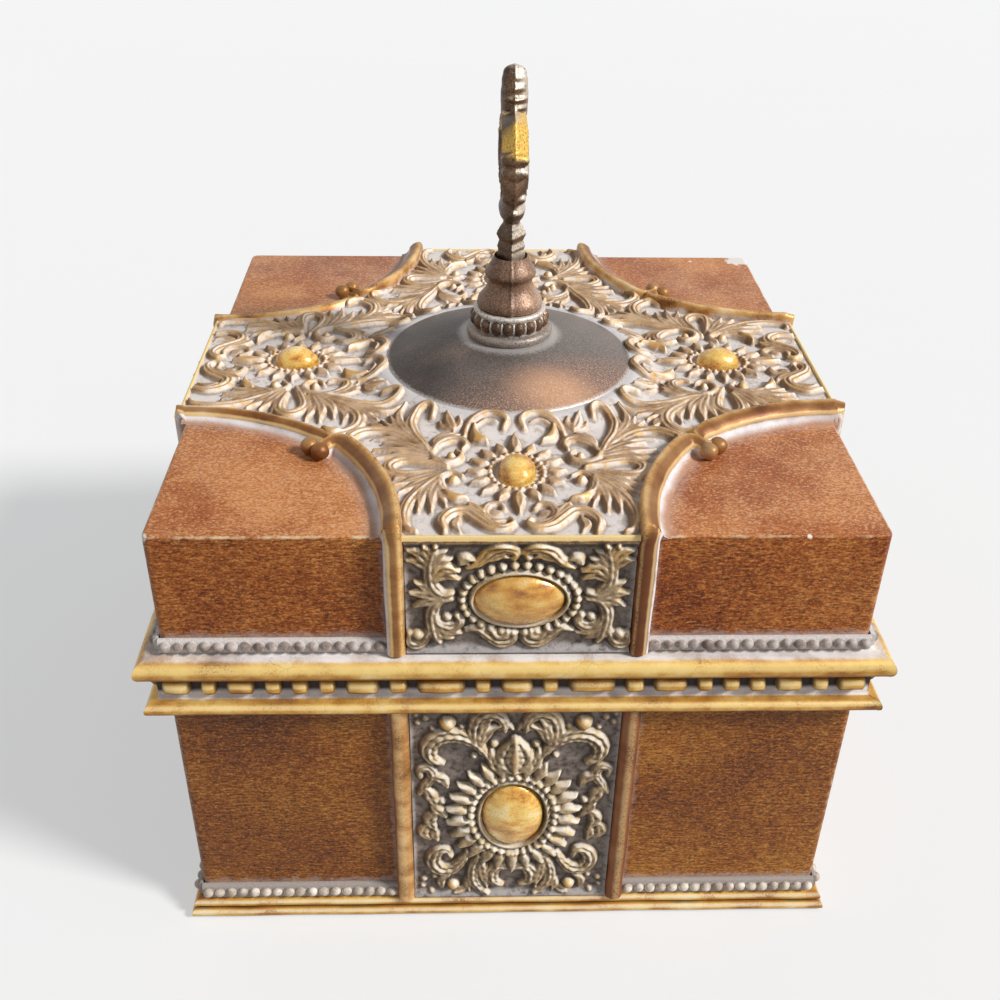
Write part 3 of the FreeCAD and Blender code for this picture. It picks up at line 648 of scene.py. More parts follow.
class Carving:
    def __init__(self, low, high, pitch):
        self.low, self.pitch = np.array(low, float), pitch
        columns, rows = [np.arange(low[axis], high[axis] + pitch, pitch) for axis in (0, 1)]
        self.x, self.y = np.meshgrid(columns, rows)
        # carved height, gilding, gentle rise of the ground itself, white paint left on the ground
        self.height, self.gilt, self.base, self.wash = np.zeros((4, *self.x.shape))
        self.copies = [lambda x, y: (x, y), lambda x, y: (-x, y)]  # both halves alike
        self.lobes = 0.0

    def lay(self, points, widths, rise, shape, gilt):
        path = smoothPath(points)
        widths, rises = np.atleast_1d(widths).astype(float), np.atleast_1d(rise).astype(float)
        first = np.maximum(((path.min(0) - widths.max() - self.low) / self.pitch).astype(int), 0)
        last = np.maximum(((path.max(0) + widths.max() - self.low) / self.pitch).astype(int) + 2, 0)
        where = slice(first[1], last[1]), slice(first[0], last[0])
        x, y = self.x[where], self.y[where]
        if x.size == 0:
            return
        nearest = np.full(x.shape, 1e9)
        place = np.zeros(x.shape, int)
        for index, (px, py) in enumerate(path):
            away = (x - px) ** 2 + (y - py) ** 2
            closer = away < nearest
            nearest[closer] = away[closer]
            place[closer] = index
        along = place / (len(path) - 1)
        way = np.gradient(path, axis=0)[place]
        side = np.where(way[..., 0] * (y - path[place, 1]) < way[..., 1] * (x - path[place, 0]), -1, 1)
        width = np.interp(along, np.linspace(0, 1, len(widths)), widths)
        lift = np.interp(along, np.linspace(0, 1, len(rises)), rises)
        q = np.clip(side * np.sqrt(nearest) / width, -1, 1)
        raised = lift * shape(q)
        if self.lobes and shape in (leaf, fluted):  # notches slant back from the middle vein
            raised *= 1 - self.lobes * np.cos(math.pi * (along * len(path) * 0.25 / 2.4 - np.abs(q))) ** 4
        higher = raised > self.height[where]
        self.height[where] = np.where(higher, raised, self.height[where])
        self.gilt[where] = np.where(higher, gilt, self.gilt[where])

    def stroke(self, shape, rise, widths, points, gilt=0.0):
        for copy in self.copies:
            self.lay([copy(*point) for point in points], widths, rise, shape, gilt)

    def ball(self, x, y, radius, rise, gilt=0.0):
        self.stroke(roll, rise, radius, [(x - 0.01, y), (x + 0.01, y)], gilt)

    def carve(self, design):
        self.lobes = design["lobes"]
        middle, fat = design["middle"], design["fat"]
        for shape, rise, widths, line, *gilt in design["strokes"]:
            self.stroke(shape, rise, np.multiply(widths, fat), np.reshape(line, (-1, 2)), *gilt)
        for rise, width, *line in design["leaves"]:
            self.stroke(leaf, rise, swell(width) * fat, np.reshape(line[:6], (3, 2)), *line[6:])
        for entry in design.get("balls", ()):
            self.ball(*entry)
        for across, up, count, radius, rise in design.get("beadRings", ()):
            for x, y in circle(across, up, middle, np.arange(count) * 2 * math.pi / count):
                self.ball(x, y, radius, rise)
        for across, up, count, length, width, rise in design.get("petalRings", ()):
            turn = math.pi / 2 + np.arange(count) * 2 * math.pi / count
            rings = [circle(across + out, up + out, middle, turn) for out in (-length / 2, 0, length / 2)]
            for petal in zip(*rings):
                self.stroke(roll, rise, swell(width, 0.6), petal)
        for across, up, width, rise in design.get("rings", ()):
            self.stroke(roll, rise, width, circle(across, up, middle, np.linspace(0, 2 * math.pi, 40)))

    def look(self, points, field):  # the field's value under each point
        place = (np.asarray(points) - self.low) / self.pitch
        column = np.clip(place[:, 0], 0, field.shape[1] - 1.001)
        row = np.clip(place[:, 1], 0, field.shape[0] - 1.001)
        i, j = row.astype(int), column.astype(int)
        u, v = row - i, column - j
        return ((field[i, j] * (1 - v) + field[i, j + 1] * v) * (1 - u)
                + (field[i + 1, j] * (1 - v) + field[i + 1, j + 1] * v) * u)


def blurred(field, steps):
    for axis in (0, 1):
        for step in range(steps):
            field = (np.roll(field, 1, axis) + 2 * field + np.roll(field, -1, axis)) / 4
    return field


def carvedPlate(name, carving, low, high, ground, foot, trim=None):
    # a grid from low to high that takes the carving's heights over its ground and is closed down to its foot
    peak = 2.0
    across, up = [int((high[axis] - low[axis]) / carving.pitch) for axis in (0, 1)]
    piece = sheet(name, across, up)
    spread = np.array(low) + (pointsOf(piece)[:, :2] * mm + 0.5) * (np.array(high) - np.array(low))
    setPoints(piece, np.column_stack([spread, np.full(len(spread), ground)]))
    if trim:
        trim(piece)
    points = pointsOf(piece)
    height = blurred(carving.height, 1)
    points[:, 2] = ground + carving.look(points[:, :2], height + carving.base)
    setPoints(piece, points)
    edit(piece, "DESELECT")
    bpy.ops.mesh.select_non_manifold()
    bpy.ops.mesh.extrude_region_move()
    leaveEdit()
    lower = pointsOf(piece)
    lower[len(points):, 2] = foot
    setPoints(piece, lower)
    bpy.ops.object.mode_set(mode="EDIT")
    bpy.ops.mesh.fill(use_beauty=False)
    bpy.ops.mesh.select_all(action="SELECT")
    bpy.ops.mesh.normals_make_consistent(inside=False)
    leaveEdit()
    # beside: nearness to the raised strokes, for the dirt and painted shade there; hollow: how far a point
    # lies below its surroundings
    fields = {"rise": height / peak, "hollow": np.clip((blurred(height, 7) - height) * 1.5, -1, 1),
              "gilt": blurred(carving.gilt, 2), "wash": carving.wash,
              "beside": np.clip(blurred(height, 40) / peak * 2.2, 0, 1)}
    for key, field in fields.items():
        keep(piece, key, carving.look(lower[:, :2], field))
    smooth(piece, 80)
    return piece


def keepLean(piece, way):  # how far the surface leans towards a way, -1 to 1; the finish paints highlight on what leans towards the light and shade on what leans away
    keep(piece, "lean", normalsOf(piece) @ np.array(way))


# Arcs of the lid's scroll mouldings
scrolls = {"radius": 59.2, "axisX": 87.4, "axisY": 84.0, "halfWidth": 2.2}

# Designs, the left half of each
# strokes: shape, rise, half widths, x y pairs, gilding; leaves: rise, half width, three x y pairs, gilding
# balls: x, y, radius, rise, gilding; all rings: half width, half height, then
# beadRings: count, radius, rise; petalRings: count, length, half width, rise; rings: half width, rise

armDesign = {  # lid panel, front arm, from the middle of the lid
    "middle": -58.5, "fat": 1.06, "lobes": 0,
    "strokes": [
        (fluted, 1.8, (0.5, 1, 1.3, 1.4, 1.3, 1.1, 0.8), (-12.4, -42.4, -11.9, -39.2, -10.3, -36.4, -6.5,
         -34, -3.2, -34.8, -1.8, -37, -2.6, -39.4), 0.2),
        (roll, 1.2, (0.3, 0.6, 0.6, 0.3), (-10.8, -41.4, -9.6, -38.6, -6.8, -36.6, -4.2, -37.2)),
        (roll, 2.2, (0.4, 1.3, 1.8, 0.5), (-9.9, -38.2, -9.8, -40.8, -8.7, -43.4, -6.8, -44.8), 0.9),
        (fluted, 2.1, (0.7, 1.4, 1.8, 1.8, 1.6, 1.4, 1.1, 0.8), (-20.2, -52.2, -22.4, -46.5, -24.9, -41,
         -25.9, -35.2, -24.4, -30.6, -21.8, -29, -20.2, -30.6, -20.4, -33.6), 0.2),
        (leaf, 1.8, (0.4, 1.1, 1.4, 1.2, 0.4), (-21.6, -49, -25.2, -42.5, -28.2, -36.6, -29, -31.2, -27.2,
         -27.4)),
        (leaf, 1.6, swell(1.5), (-22, -47.6, -27.2, -40.8, -29.8, -36.4, -31.2, -31.8)),
        (fluted, (1.4, 1.7, 2, 2.3), (0.7, 1.5, 1.8, 1.9, 1.9, 1.9, 1.8, 1), (-20.4, -51.6, -24.4, -45.6,
         -28.2, -41.4, -32.2, -39.2, -36.8, -39.4, -40, -42, -40.6, -45.2, -38.6, -47.4), 0.2),
        (roll, 2.4, (0.5, 1.4, 1.3, 0.5), (-40.4, -43, -40.4, -45.4, -38.8, -47.4), 0.9),
        (fluted, 1.9, (0.6, 1.2, 1.6, 1.6, 1.2, 0.6), (-20.2, -50.4, -18.9, -46.2, -16, -43.6, -13.1, -43.8,
         -12.1, -46.4, -12.9, -48.6)),
        (roll, 1.9, (0.8, 1.2, 1.3, 1.2, 0.9, 0.6), (-20.4, -50.8, -19.4, -53.4, -16.8, -54.8, -14, -53.8,
         -13.1, -51.4, -14.4, -49.6)),
        (fluted, 2, (0.7, 1.4, 1.5, 1.7, 1.7, 1.4, 0.7), (-16.4, -56.8, -22.4, -54.4, -27.2, -53.6, -30.2,
         -56, -29.4, -59.2, -25.8, -59.8, -19.6, -58.6), 0.2),
        (fluted, 1.9, (0.7, 1.4, 1.6, 1.6, 1.3, 0.7), (-17.8, -60.4, -21.6, -65.2, -24.8, -71, -26, -77,
         -24.9, -82.2, -23, -83.4), 0.2),
        (fluted, 1.8, (0.6, 1.1, 1.3, 1.5, 1.6, 1.6, 0.6), (-12.8, -60.6, -15.2, -59, -17.6, -60.4, -18.4,
         -63.6, -17.4, -67.2, -15, -69.8, -11.8, -70.8)),
        (roll, 2.2, (0.5, 1.4, 1.3, 0.4), (-17, -68, -14.8, -70.2, -11.8, -70.9), 0.9),
        (fluted, 2.1, (0.7, 1.4, 1.7, 1.9, 1.9, 1.8, 1.6, 1.2, 0.8), (-16.8, -83.4, -17.4, -79.4, -15.2, -76,
         -12, -75.6, -9.6, -78.2, -7, -81.2, -3.8, -82.2, -1.7, -80.6, -2.3, -78.8), 0.3),
        (fluted, 1.6, (0.5, 1.1, 1.3, 1.3, 1.1, 0.7), (-3, -79.2, -6.2, -79.2, -8.2, -76.4, -7.2, -73, -4.6,
         -72.4, -3.4, -74.6)),
        (roll, 0.7, 0.5, (-30, -84.8, 30, -84.8), 0.9),
    ],
    "leaves": [
        (1.6, 1.4, -15, -39, -16.2, -36, -16.8, -32.6), (1.2, 1, -14.8, -39, -13.6, -36.6, -13.8, -34.4),
        (1.2, 1, -15.4, -39, -18, -37.2, -18.6, -35.2), (1.6, 1.5, -22.2, -47, -28.2, -40.6, -33.4, -34.2),
        (1.4, 1.4, -22.4, -46.8, -29.4, -41, -35.6, -36.8), (1.2, 1.2, -26, -45.2, -30.4, -42.8, -35, -43),
        (1.7, 1.7, -21, -51, -26.4, -46.8, -32.2, -45.4),
        (1.7, 1.7, -20.6, -51.8, -27.4, -49.2, -34.4, -48.8),
        (1.5, 1.6, -20.2, -52.8, -27, -51.4, -33.6, -52.4), (1.3, 1.1, -19.8, -47.4, -19.2, -43, -17.4, -40),
        (1.3, 1.1, -19.2, -46, -17.6, -42, -15.2, -40), (1.2, 1, -18, -44.8, -15.6, -41.8, -13.2, -40.6),
        (1.5, 1.5, -18.4, -59.2, -23.6, -60.6, -28.8, -61.6),
        (1.6, 1.6, -18.2, -59.6, -23.2, -62.2, -28.8, -64.8),
        (1.6, 1.6, -18, -60.2, -22.6, -63.8, -27.6, -68.2),
        (1.7, 1.6, -18, -61.4, -21.8, -67.6, -22.8, -75.4),
        (1.7, 1.5, -17.8, -62, -19.8, -68.4, -19.8, -75.4),
        (1.5, 1.3, -17.5, -63, -17.8, -68.4, -16.6, -73.4),
        (1.7, 1.6, -11.4, -72.6, -9.4, -75.8, -7.6, -79, 0.3),
        (1.2, 1.2, -13.6, -77.8, -14.6, -80.6, -13.4, -83.4),
        (1.3, 1.3, -37.2, -32.8, -36.2, -35, -35.4, -37.4), (2, 1.5, 0, -49, 0, -45.4, 0, -41.4),
        (2, 1.5, 0, -68.6, 0, -72.2, 0, -76, 0.5),
    ],
    "balls": [
        (-15.6, -51.8, 1.3, 2, 0.7), (-14.9, -62.4, 1.6, 2, 0.8), (-5.6, -76, 1.9, 0.9),
    ],
    "beadRings": [(6.4, 7.9, 26, 0.9, 1.5)],
    "petalRings": [(9.9, 11.4, 16, 3.9, 1.6, 1.6)],
}

panelDesign = {  # box panel, x across and z up
    "middle": 37.6, "fat": 1.2, "lobes": 0.14,
    "strokes": [
        (fluted, 2.2, (0.6, 1.3, 1.7, 1.9, 1.8, 1.4, 0.6), (-8.6, 60.2, -9.8, 64, -10, 68.6, -8.4, 72, -5.2,
         72.6, -3, 70.2, -2.6, 67)),
        (fluted, 2.4, (0.7, 1.4, 1.9, 2.2, 2.2, 1.9, 0.9), (-6.4, 58.2, -9.6, 63, -14, 65.6, -18.4, 65.2,
         -21.2, 62.2, -20.8, 58.4, -18.2, 56.4)),
        (fluted, 1.7, (0.6, 1.2, 1.4, 1.4, 1.2, 0.7), (-24, 45.4, -22.4, 48.2, -20.6, 51.6, -21.6, 54.4,
         -23.8, 53.8, -23.6, 51.4)),
        (fluted, 2.2, (0.6, 1.3, 1.7, 2, 2.1, 1.9, 1.4, 0.8), (-11.8, 23.6, -13.2, 20.2, -15.8, 17, -19,
         16.8, -20.8, 19.8, -20, 23.2, -17.4, 24.4, -16.2, 22)),
        (fluted, 2.2, (0.8, 1.7, 1.9, 1.6, 0.8), (-0.6, 17.4, -3.4, 17.8, -5.2, 15.4, -4.8, 12.2, -2.6,
         10.6)),
        (fluted, 2, (0.6, 1.3, 1.6, 1.4, 0.7), (-8.8, 21.8, -10.2, 17.6, -10.2, 12.6, -8.6, 9.4, -6.2, 7.6)),
        (roll, 2.9, swell(1.4), (0, 53.8, 0, 58.6, 0, 65.2), 0.5),
        (roll, 2.6, swell(1.5), (0, 24, 0, 20.6, 0, 16.4)),
    ],
    "leaves": [
        (2.3, 1.3, -8.6, 63.4, -8, 67.6, -6, 71.4), (2.1, 1.2, -8, 63.4, -6.4, 67.2, -3.8, 69.2),
        (2, 1.2, -9.4, 62.8, -10.8, 67.4, -10.4, 71.8), (1.5, 1, -4.2, 67.6, -1.8, 68.8, -0.5, 67.4),
        (1.7, 1.5, -20.8, 51.8, -18, 50.4, -16.8, 47.6), (1.8, 1.7, -22, 47.2, -20.8, 43.8, -19.4, 40.8),
        (1.7, 1.5, -20.8, 41, -18.8, 38.8, -17.2, 36.8), (1.8, 1.7, -20.4, 38.6, -21.4, 35.4, -19.8, 32.2),
        (1.6, 1.5, -22.6, 33.8, -23.2, 30.8, -21.4, 28.6), (1.5, 1.3, -20.4, 32.4, -20.2, 29.6, -19.4, 27.8),
        (1.4, 1.1, -18.6, 9, -18.8, 12.2, -16.4, 14.2), (1.2, 1.1, -15.2, 7.6, -12.8, 9, -12.6, 11.4),
        (1.9, 1.3, -8.2, 20.4, -7.6, 14.6, -6.4, 9.4), (1.5, 1.2, -9.8, 14.6, -11.6, 11.4, -11.2, 8),
        (2.6, 2.3, -1, 54, -2.6, 58.4, -0.6, 64.6), (2.2, 1.5, -3.8, 53.4, -5.4, 57, -6, 61.4),
    ],
    "balls": [
        (-5.2, 62.6, 1.2, 1.6), (-10.2, 58.6, 1.1, 1.5), (-16.7, 69.8, 2.2, 2.6, 1), (-18.2, 42.8, 1.2, 1.7),
        (-15.6, 10.6, 1.8, 2.2, 1), (-22, 71.2, 1.1, 1.1), (-24, 69.6, 1, 1), (-13.2, 68.2, 1, 1),
        (-23.4, 12.6, 1.1, 1.1), (-23.8, 9.8, 1, 1), (-21.4, 8.2, 1, 1.1), (-20.6, 13.6, 1, 1),
        (-20.4, 67.8, 0.9, 1), (-24.4, 72.2, 0.9, 0.9),
    ],
    "beadRings": [(10.9, 14, 34, 1.25, 2.5)],
    "petalRings": [(14.8, 17.8, 26, 4.9, 1.75, 2.2)],
    "rings": [(8.9, 12, 0.8, 1.8)],
}

skirtDesign = {  # lid side panel, x across and z up
    "middle": 107.7, "fat": 1.15, "lobes": 0.1,
    "strokes": [
        (fluted, 2.2, (0.5, 1.2, 1.6, 1.7, 1.4, 0.8), (-12, 116.6, -9.2, 118.2, -6.6, 120.8, -3.6, 122, -1.2,
         120.8, -1.6, 119.2), 0.8),
        (fluted, 2.1, (0.6, 1.2, 1.5, 1.6, 1.4, 0.8), (-18.8, 122.8, -19.8, 119.6, -20.3, 115.6, -19.8, 112,
         -17.6, 109.4, -15.4, 109.6)),
        (roll, 1.8, swell(1.5), (-13.6, 117.8, -12.2, 119.2, -10.6, 119)),
        (fluted, 2.1, (0.6, 1.2, 1.6, 1.6, 1.4, 0.7), (-15.2, 108, -18, 107.4, -19.8, 104.8, -19.9, 101,
         -19.2, 97.4, -18.2, 95.4)),
        (fluted, 2, (0.6, 1.2, 1.5, 1.4, 0.8), (-19.4, 104.2, -18.6, 101.2, -15.8, 99.8, -13.6, 101.2, -14.2,
         103.2)),
        (fluted, 1.8, (0.6, 1, 1.3, 1.4, 0.8), (-20.4, 101.4, -21, 97.8, -22.6, 95.2, -24.8, 95.4, -25, 98)),
        (fluted, 2, (0.6, 1.2, 1.4, 1.6, 1.5, 0.8), (-12.2, 99, -9.6, 99.4, -7.2, 97.4, -4.6, 95.6, -1.8, 96,
         -0.9, 98.2)),
        (roll, 2, (0.6, 1, 1.1, 0.7), (-6, 98.8, -4.8, 97.2, -3, 97.6, -2.7, 99)),
    ],
    "leaves": [
        (1.8, 1.2, -7.4, 118.8, -4.6, 120, -2.6, 119.4, 0.5),
        (2, 1.7, -19.6, 114.2, -17.2, 116.6, -13.6, 115.8, 0.7),
        (1.8, 1.4, -19.4, 113.4, -16.6, 114.6, -13.6, 113.4, 0.3),
        (1.8, 1.4, -19.8, 116.4, -17.2, 118.4, -15.4, 119),
        (1.6, 1.2, -19.6, 118.4, -17.6, 120.4, -16.4, 121.2), (1.7, 1.4, -18.8, 101.4, -16, 98.6, -13, 98.2),
        (1.7, 1.3, -19, 100, -17.2, 97.4, -15, 96.6), (1.8, 1.5, -19.6, 119.4, -21, 121.4, -21.4, 123, 0.6),
        (1.8, 1.6, -20.2, 118, -22.8, 120.8, -25, 121.4, 0.7),
        (1.6, 1.5, -20.4, 116.6, -23, 118.4, -25.2, 118.6, 0.3),
        (1.8, 1.5, -17.8, 108.8, -21, 111.2, -23.6, 112.8),
        (1.8, 1.6, -17.8, 108.4, -21.4, 109.4, -24.8, 109.6),
        (1.8, 1.5, -17.8, 108, -21.2, 107.2, -24, 105.8),
    ],
    "balls": [
        (-23.2, 97.6, 1.6, 2), (-16.4, 102.6, 1.3, 1.6),
    ],
    "beadRings": [(13.1, 9.4, 30, 1.15, 2)],
    "rings": [(11, 7.5, 0.75, 1.7)],
}

relief = {"pitch": 0.25, "sideGround": 0.7, "topGround": 1.0, "domeRise": 2.5}  # grounds over the wood


def eased(value, low, high):  # 0 at low, 1 at high, smooth between
    t = np.clip((value - low) / (high - low), 0, 1)
    return t * t * (3 - 2 * t)


def sidePanels(stem, design, finish, body):
    low, high = corners(stem + "_front")
    carving = Carving((low.x - 1, low.z - 1), (high.x + 1, high.z + 1), relief["pitch"])
    carving.carve(design)
    out = np.abs(carving.x)
    border = eased(out, high.x - 1.0, high.x)
    sill = eased(carving.y, low.z + 2.8, low.z)
    crown = eased(carving.y, high.z - 2.6, high.z - 0.2) if body == "lid" else 0 * border
    carving.base = np.maximum(0.3 * border, np.maximum(1.3 * sill, 1.4 * crown))
    washed = eased(carving.y, low.z + 2.8, low.z + 1.2)
    carving.wash = 0.45 * np.maximum(eased(out, high.x - 1.2, high.x - 0.2), washed)
    carving.gilt = np.maximum(carving.gilt, 0.8 * crown)
    piece = carvedPlate(stem, carving, (low.x, low.z), (high.x, high.z), relief["sideGround"], 0.0)
    x, up, out = pointsOf(piece).T
    setPoints(piece, np.column_stack([x, -half - out, up]))  # stood up on the front
    faceOut(piece)
    sides = fourSides(piece, stem)
    for side, turn in turns.items():
        keepLean(sides[side], Matrix.Rotation(turn, 3, "Z") @ Vector((0.65, 0, 0.75)))
    dressSides(sides, body, finish, "side_relief", stem)


def topPanel(finish):
    reach = corners("top_relief")[1].x
    dome = corners("dome")[1].x
    inner = -20  # the arm's grid runs in under the dome
    carving = Carving((-reach, -reach - 1), (reach, inner), relief["pitch"])
    carving.copies += [lambda x, y: (y, x), lambda x, y: (-y, -x)]  # the neighbours across the diagonals
    carving.carve(armDesign)
    away = np.hypot(carving.x, carving.y)
    carving.base = relief["domeRise"] * eased(away, dome + 9, dome + 0.5)
    carving.wash = eased(away, dome + 3.5, dome + 1.0)
    carving.gilt[carving.y < -reach + 0.7] = 0.9

    def trim(piece):
        mitre(piece, False)
        x, y = faceMiddles(piece)[:, :2].T
        away = np.hypot(np.abs(x) - scrolls["axisX"], -y - scrolls["axisY"])
        removeFaces(piece, (np.hypot(x, y) < dome - 0.45) | (away < scrolls["radius"]))

    ground = lidTop + relief["topGround"]
    arm = carvedPlate("top_relief", carving, (-reach, -reach), (reach, inner), ground, lidTop, trim)
    for piece in fourSides(arm, "top_relief").values():
        keepLean(piece, (0.85, -0.5, 0))
        dress(piece, "lid", finish, "top_relief", "top_relief")


# Boards

def woodBoards(woodLid, woodBox):
    board = {"lidWall": 7.5, "boxWall": 8.0, "corner": 2.0, "topEdge": 0.7}

    def solid(name, low, high, topEdge):
        piece = block(name, (0, 0, (low + high) / 2), (2 * half, 2 * half, high - low))
        bevelEdges(piece, lambda a, b: abs(a[2] - b[2]) > 1, board["corner"], 5)
        if topEdge:
            bevelEdges(piece, lambda a, b: a[2] > high - 0.01 and b[2] > high - 0.01, topEdge, 3)
        return piece

    boxFoot = corners("box_wall_front")[0].z
    for stem, low, high, wall, topEdge, body, finish, slot in (
            ("lid_wall", seam, lidTop, board["lidWall"], board["topEdge"], "lid", woodLid, "lid_wood"),
            ("box_wall", boxFoot, seam, board["boxWall"], 0, "box", woodBox, "box_wood")):
        piece = solid(stem, low, high, topEdge)
        cut(piece, (0, -half + wall, 0), (0, 1, 0))
        mitre(piece)
        if topEdge:
            cut(piece, (0, -half, lidTop), (0, 1, 1))
        smooth(piece, 35)
        dressSides(fourSides(piece, stem), body, finish, slot, stem)
    top = solid("lid_board", seam, lidTop, board["topEdge"])
    for x, y in ((0, -1), (1, 0), (0, 1), (-1, 0)):
        cut(top, (x * half, y * half, lidTop), (x, y, -1))
    cut(top, (0, 0, lidCeiling), (0, 0, -1))
    smooth(top, 35)
    dress(top, "lid", woodLid, "lid_wood", "lid_board")


# Mouldings of the plinth and the two rims

def rims(finishes):
    sections = {  # distance out from the wall, height
        "plinth": [(0, 0), *arcPoints((1.9, 1.55), 1.5, -90, 90, 9), *arcPoints((1.2, 4.45), 1.3, -80, 90, 9),
                   (0, plinthTop)],
        "box_rim": [(0, rimBottom), *arcPoints((3.2, rimBottom + 1.65), 1.65, -90, 90, 11),
                    (2.2, rimBottom + 3.35), (1.65, rimBottom + 3.9), (1.6, seam - 0.3), (1.3, seam),
                    (0, seam)],
        "lid_rim": [(0, seam), (2.4, seam), *arcPoints((2.85, seam + 2.9), 2.9, -80, 95, 15),
                    (1.7, seam + 5.75), (0.9, seam + 6.1), (0, lidRimTop)]}
    for stem, body, seed in (("plinth", "box", 3), ("box_rim", "box", 4), ("lid_rim", "lid", 5)):
        piece = moulding(stem, [(half + out, z) for out, z in sections[stem]])
        roughen(piece, 0.07, 22, seed)
        smooth(piece, 50)
        dressSides(fourSides(piece, stem), body, finishes[stem], "gilt", stem)


def beadRows(finish):
    bead = {"size": 2.9, "pitch": 3.05, "slip": 1.2}
    start = stripInner + 2 * scrolls["halfWidth"]
    count = int((half - start) / bead["pitch"])
    pitch = (half - start) / count
    face = half + bead["slip"]
    draw = np.random.default_rng(11)
    rows = ("base_beads", plinthTop, 4.6, "box"), ("lid_beads", lidRimTop, 3.4, "lid")
    for stem, bottom, high, body in rows:
        middle = bottom + high / 2
        row = sphere(stem, 12, 8, bead["size"] / 2, (start + pitch / 2, -face, middle), math.pi / 2)
        array = row.modifiers.new("row", "ARRAY")
        array.use_relative_offset = False
        array.use_constant_offset = True
        array.constant_offset_displace = (pitch * mm, 0, 0)
        array.count = count
        bpy.ops.object.modifier_apply(modifier=array.name)
        points = pointsOf(row).reshape(count, -1, 3)
        heart = points.mean(1, keepdims=True)
        swelling = 1 + draw.uniform(-0.07, 0.05, (count, 1, 3))
        shift = draw.uniform(-0.1, 0.1, (count, 1, 3))
        setPoints(row, (heart + (points - heart) * swelling + shift).reshape(-1, 3))
        size = half - start, bead["slip"], high
        slip = block("slip", ((start + half) / 2, -(half + face) / 2, middle), size)
        bevelEdges(slip, lambda a, b: max(a[1], b[1]) < -half - 1 and min(a[2], b[2]) > middle, 0.9, 3)
        piece = mirrored(stem, joined(stem, row, slip))
        smooth(piece, 50)
        dressSides(fourSides(piece, stem), body, finish, "beads", stem)


def reelRow(finish):
    reel = {"size": 4.3, "gap": 2.2, "squash": 0.55, "out": 1.9, "middle": 7.8,
            "lengths": (3.9, 11.4, 4.5, 8.0, 4.1, 4.1, 4.1, 6.6, 3.9, 6.8)}
    low, high = corners("bead_and_reel")
    radius = reel["size"] / 2
    place = reel["middle"] / 2 + reel["gap"]
    spans = [(-reel["middle"] / 2, reel["middle"])]
    for length in reel["lengths"]:
        spans += [(place, length), (-place - length, length)]
        place += length + reel["gap"]
    reels = []
    for start, length in spans:
        piece = sphere("reel", 14, 10, radius, tilt=math.pi / 2)
        x, y, z = pointsOf(piece).T
        pull = max(length / 2 - radius * reel["squash"], 0)
        x = x * reel["squash"] + np.sign(np.round(x, 3)) * pull + start + length / 2
        setPoints(piece, np.column_stack([x, y - half - reel["out"], z + (low.z + high.z) / 2]))
        keep(piece, "paint", np.abs(x - start - length / 2) / (length / 2))
        roughen(piece, 0.12, 6, int(abs(start) * 10))
        reels.append(piece)
    row = joined("bead_and_reel", *reels)
    smooth(row, 60)
    whole = joined("bead_and_reel", *fourSides(row, "bead_and_reel").values())
    dress(whole, "box", finish, "gilt", "bead_and_reel")


# Strips and scroll mouldings

def roundSection(reach=3.4, shoulder=1.6):  # (across, out) of a half round on straight flanks
    wide = scrolls["halfWidth"]
    turn = np.linspace(0, math.pi, 13)
    crown = [(-wide * math.cos(t), shoulder + (reach - shoulder) * math.sin(t)) for t in turn]
    return np.array([(-wide, 0)] + crown + [(wide, 0)])


def boxStrips(finish):
    place = stripInner + scrolls["halfWidth"]
    levels = np.linspace(plinthTop, rimBottom, 40)
    section = roundSection()
    paint = np.linspace(0, 0.5, len(section))
    pieces = []
    for hand in (-1, 1):
        rings = [[(hand * place + across, -half - out, z) for across, out in section] for z in levels]
        piece = sweep("strip", rings, paint if hand > 0 else 0.5 - paint)
        roughen(piece, 0.1, 14, 20 + hand)
        smooth(piece, 50)
        pieces += list(fourSides(piece, "strip" + str(hand)).values())
    dress(joined("box_strips", *pieces), "box", finish, "gilt", "box_strips")


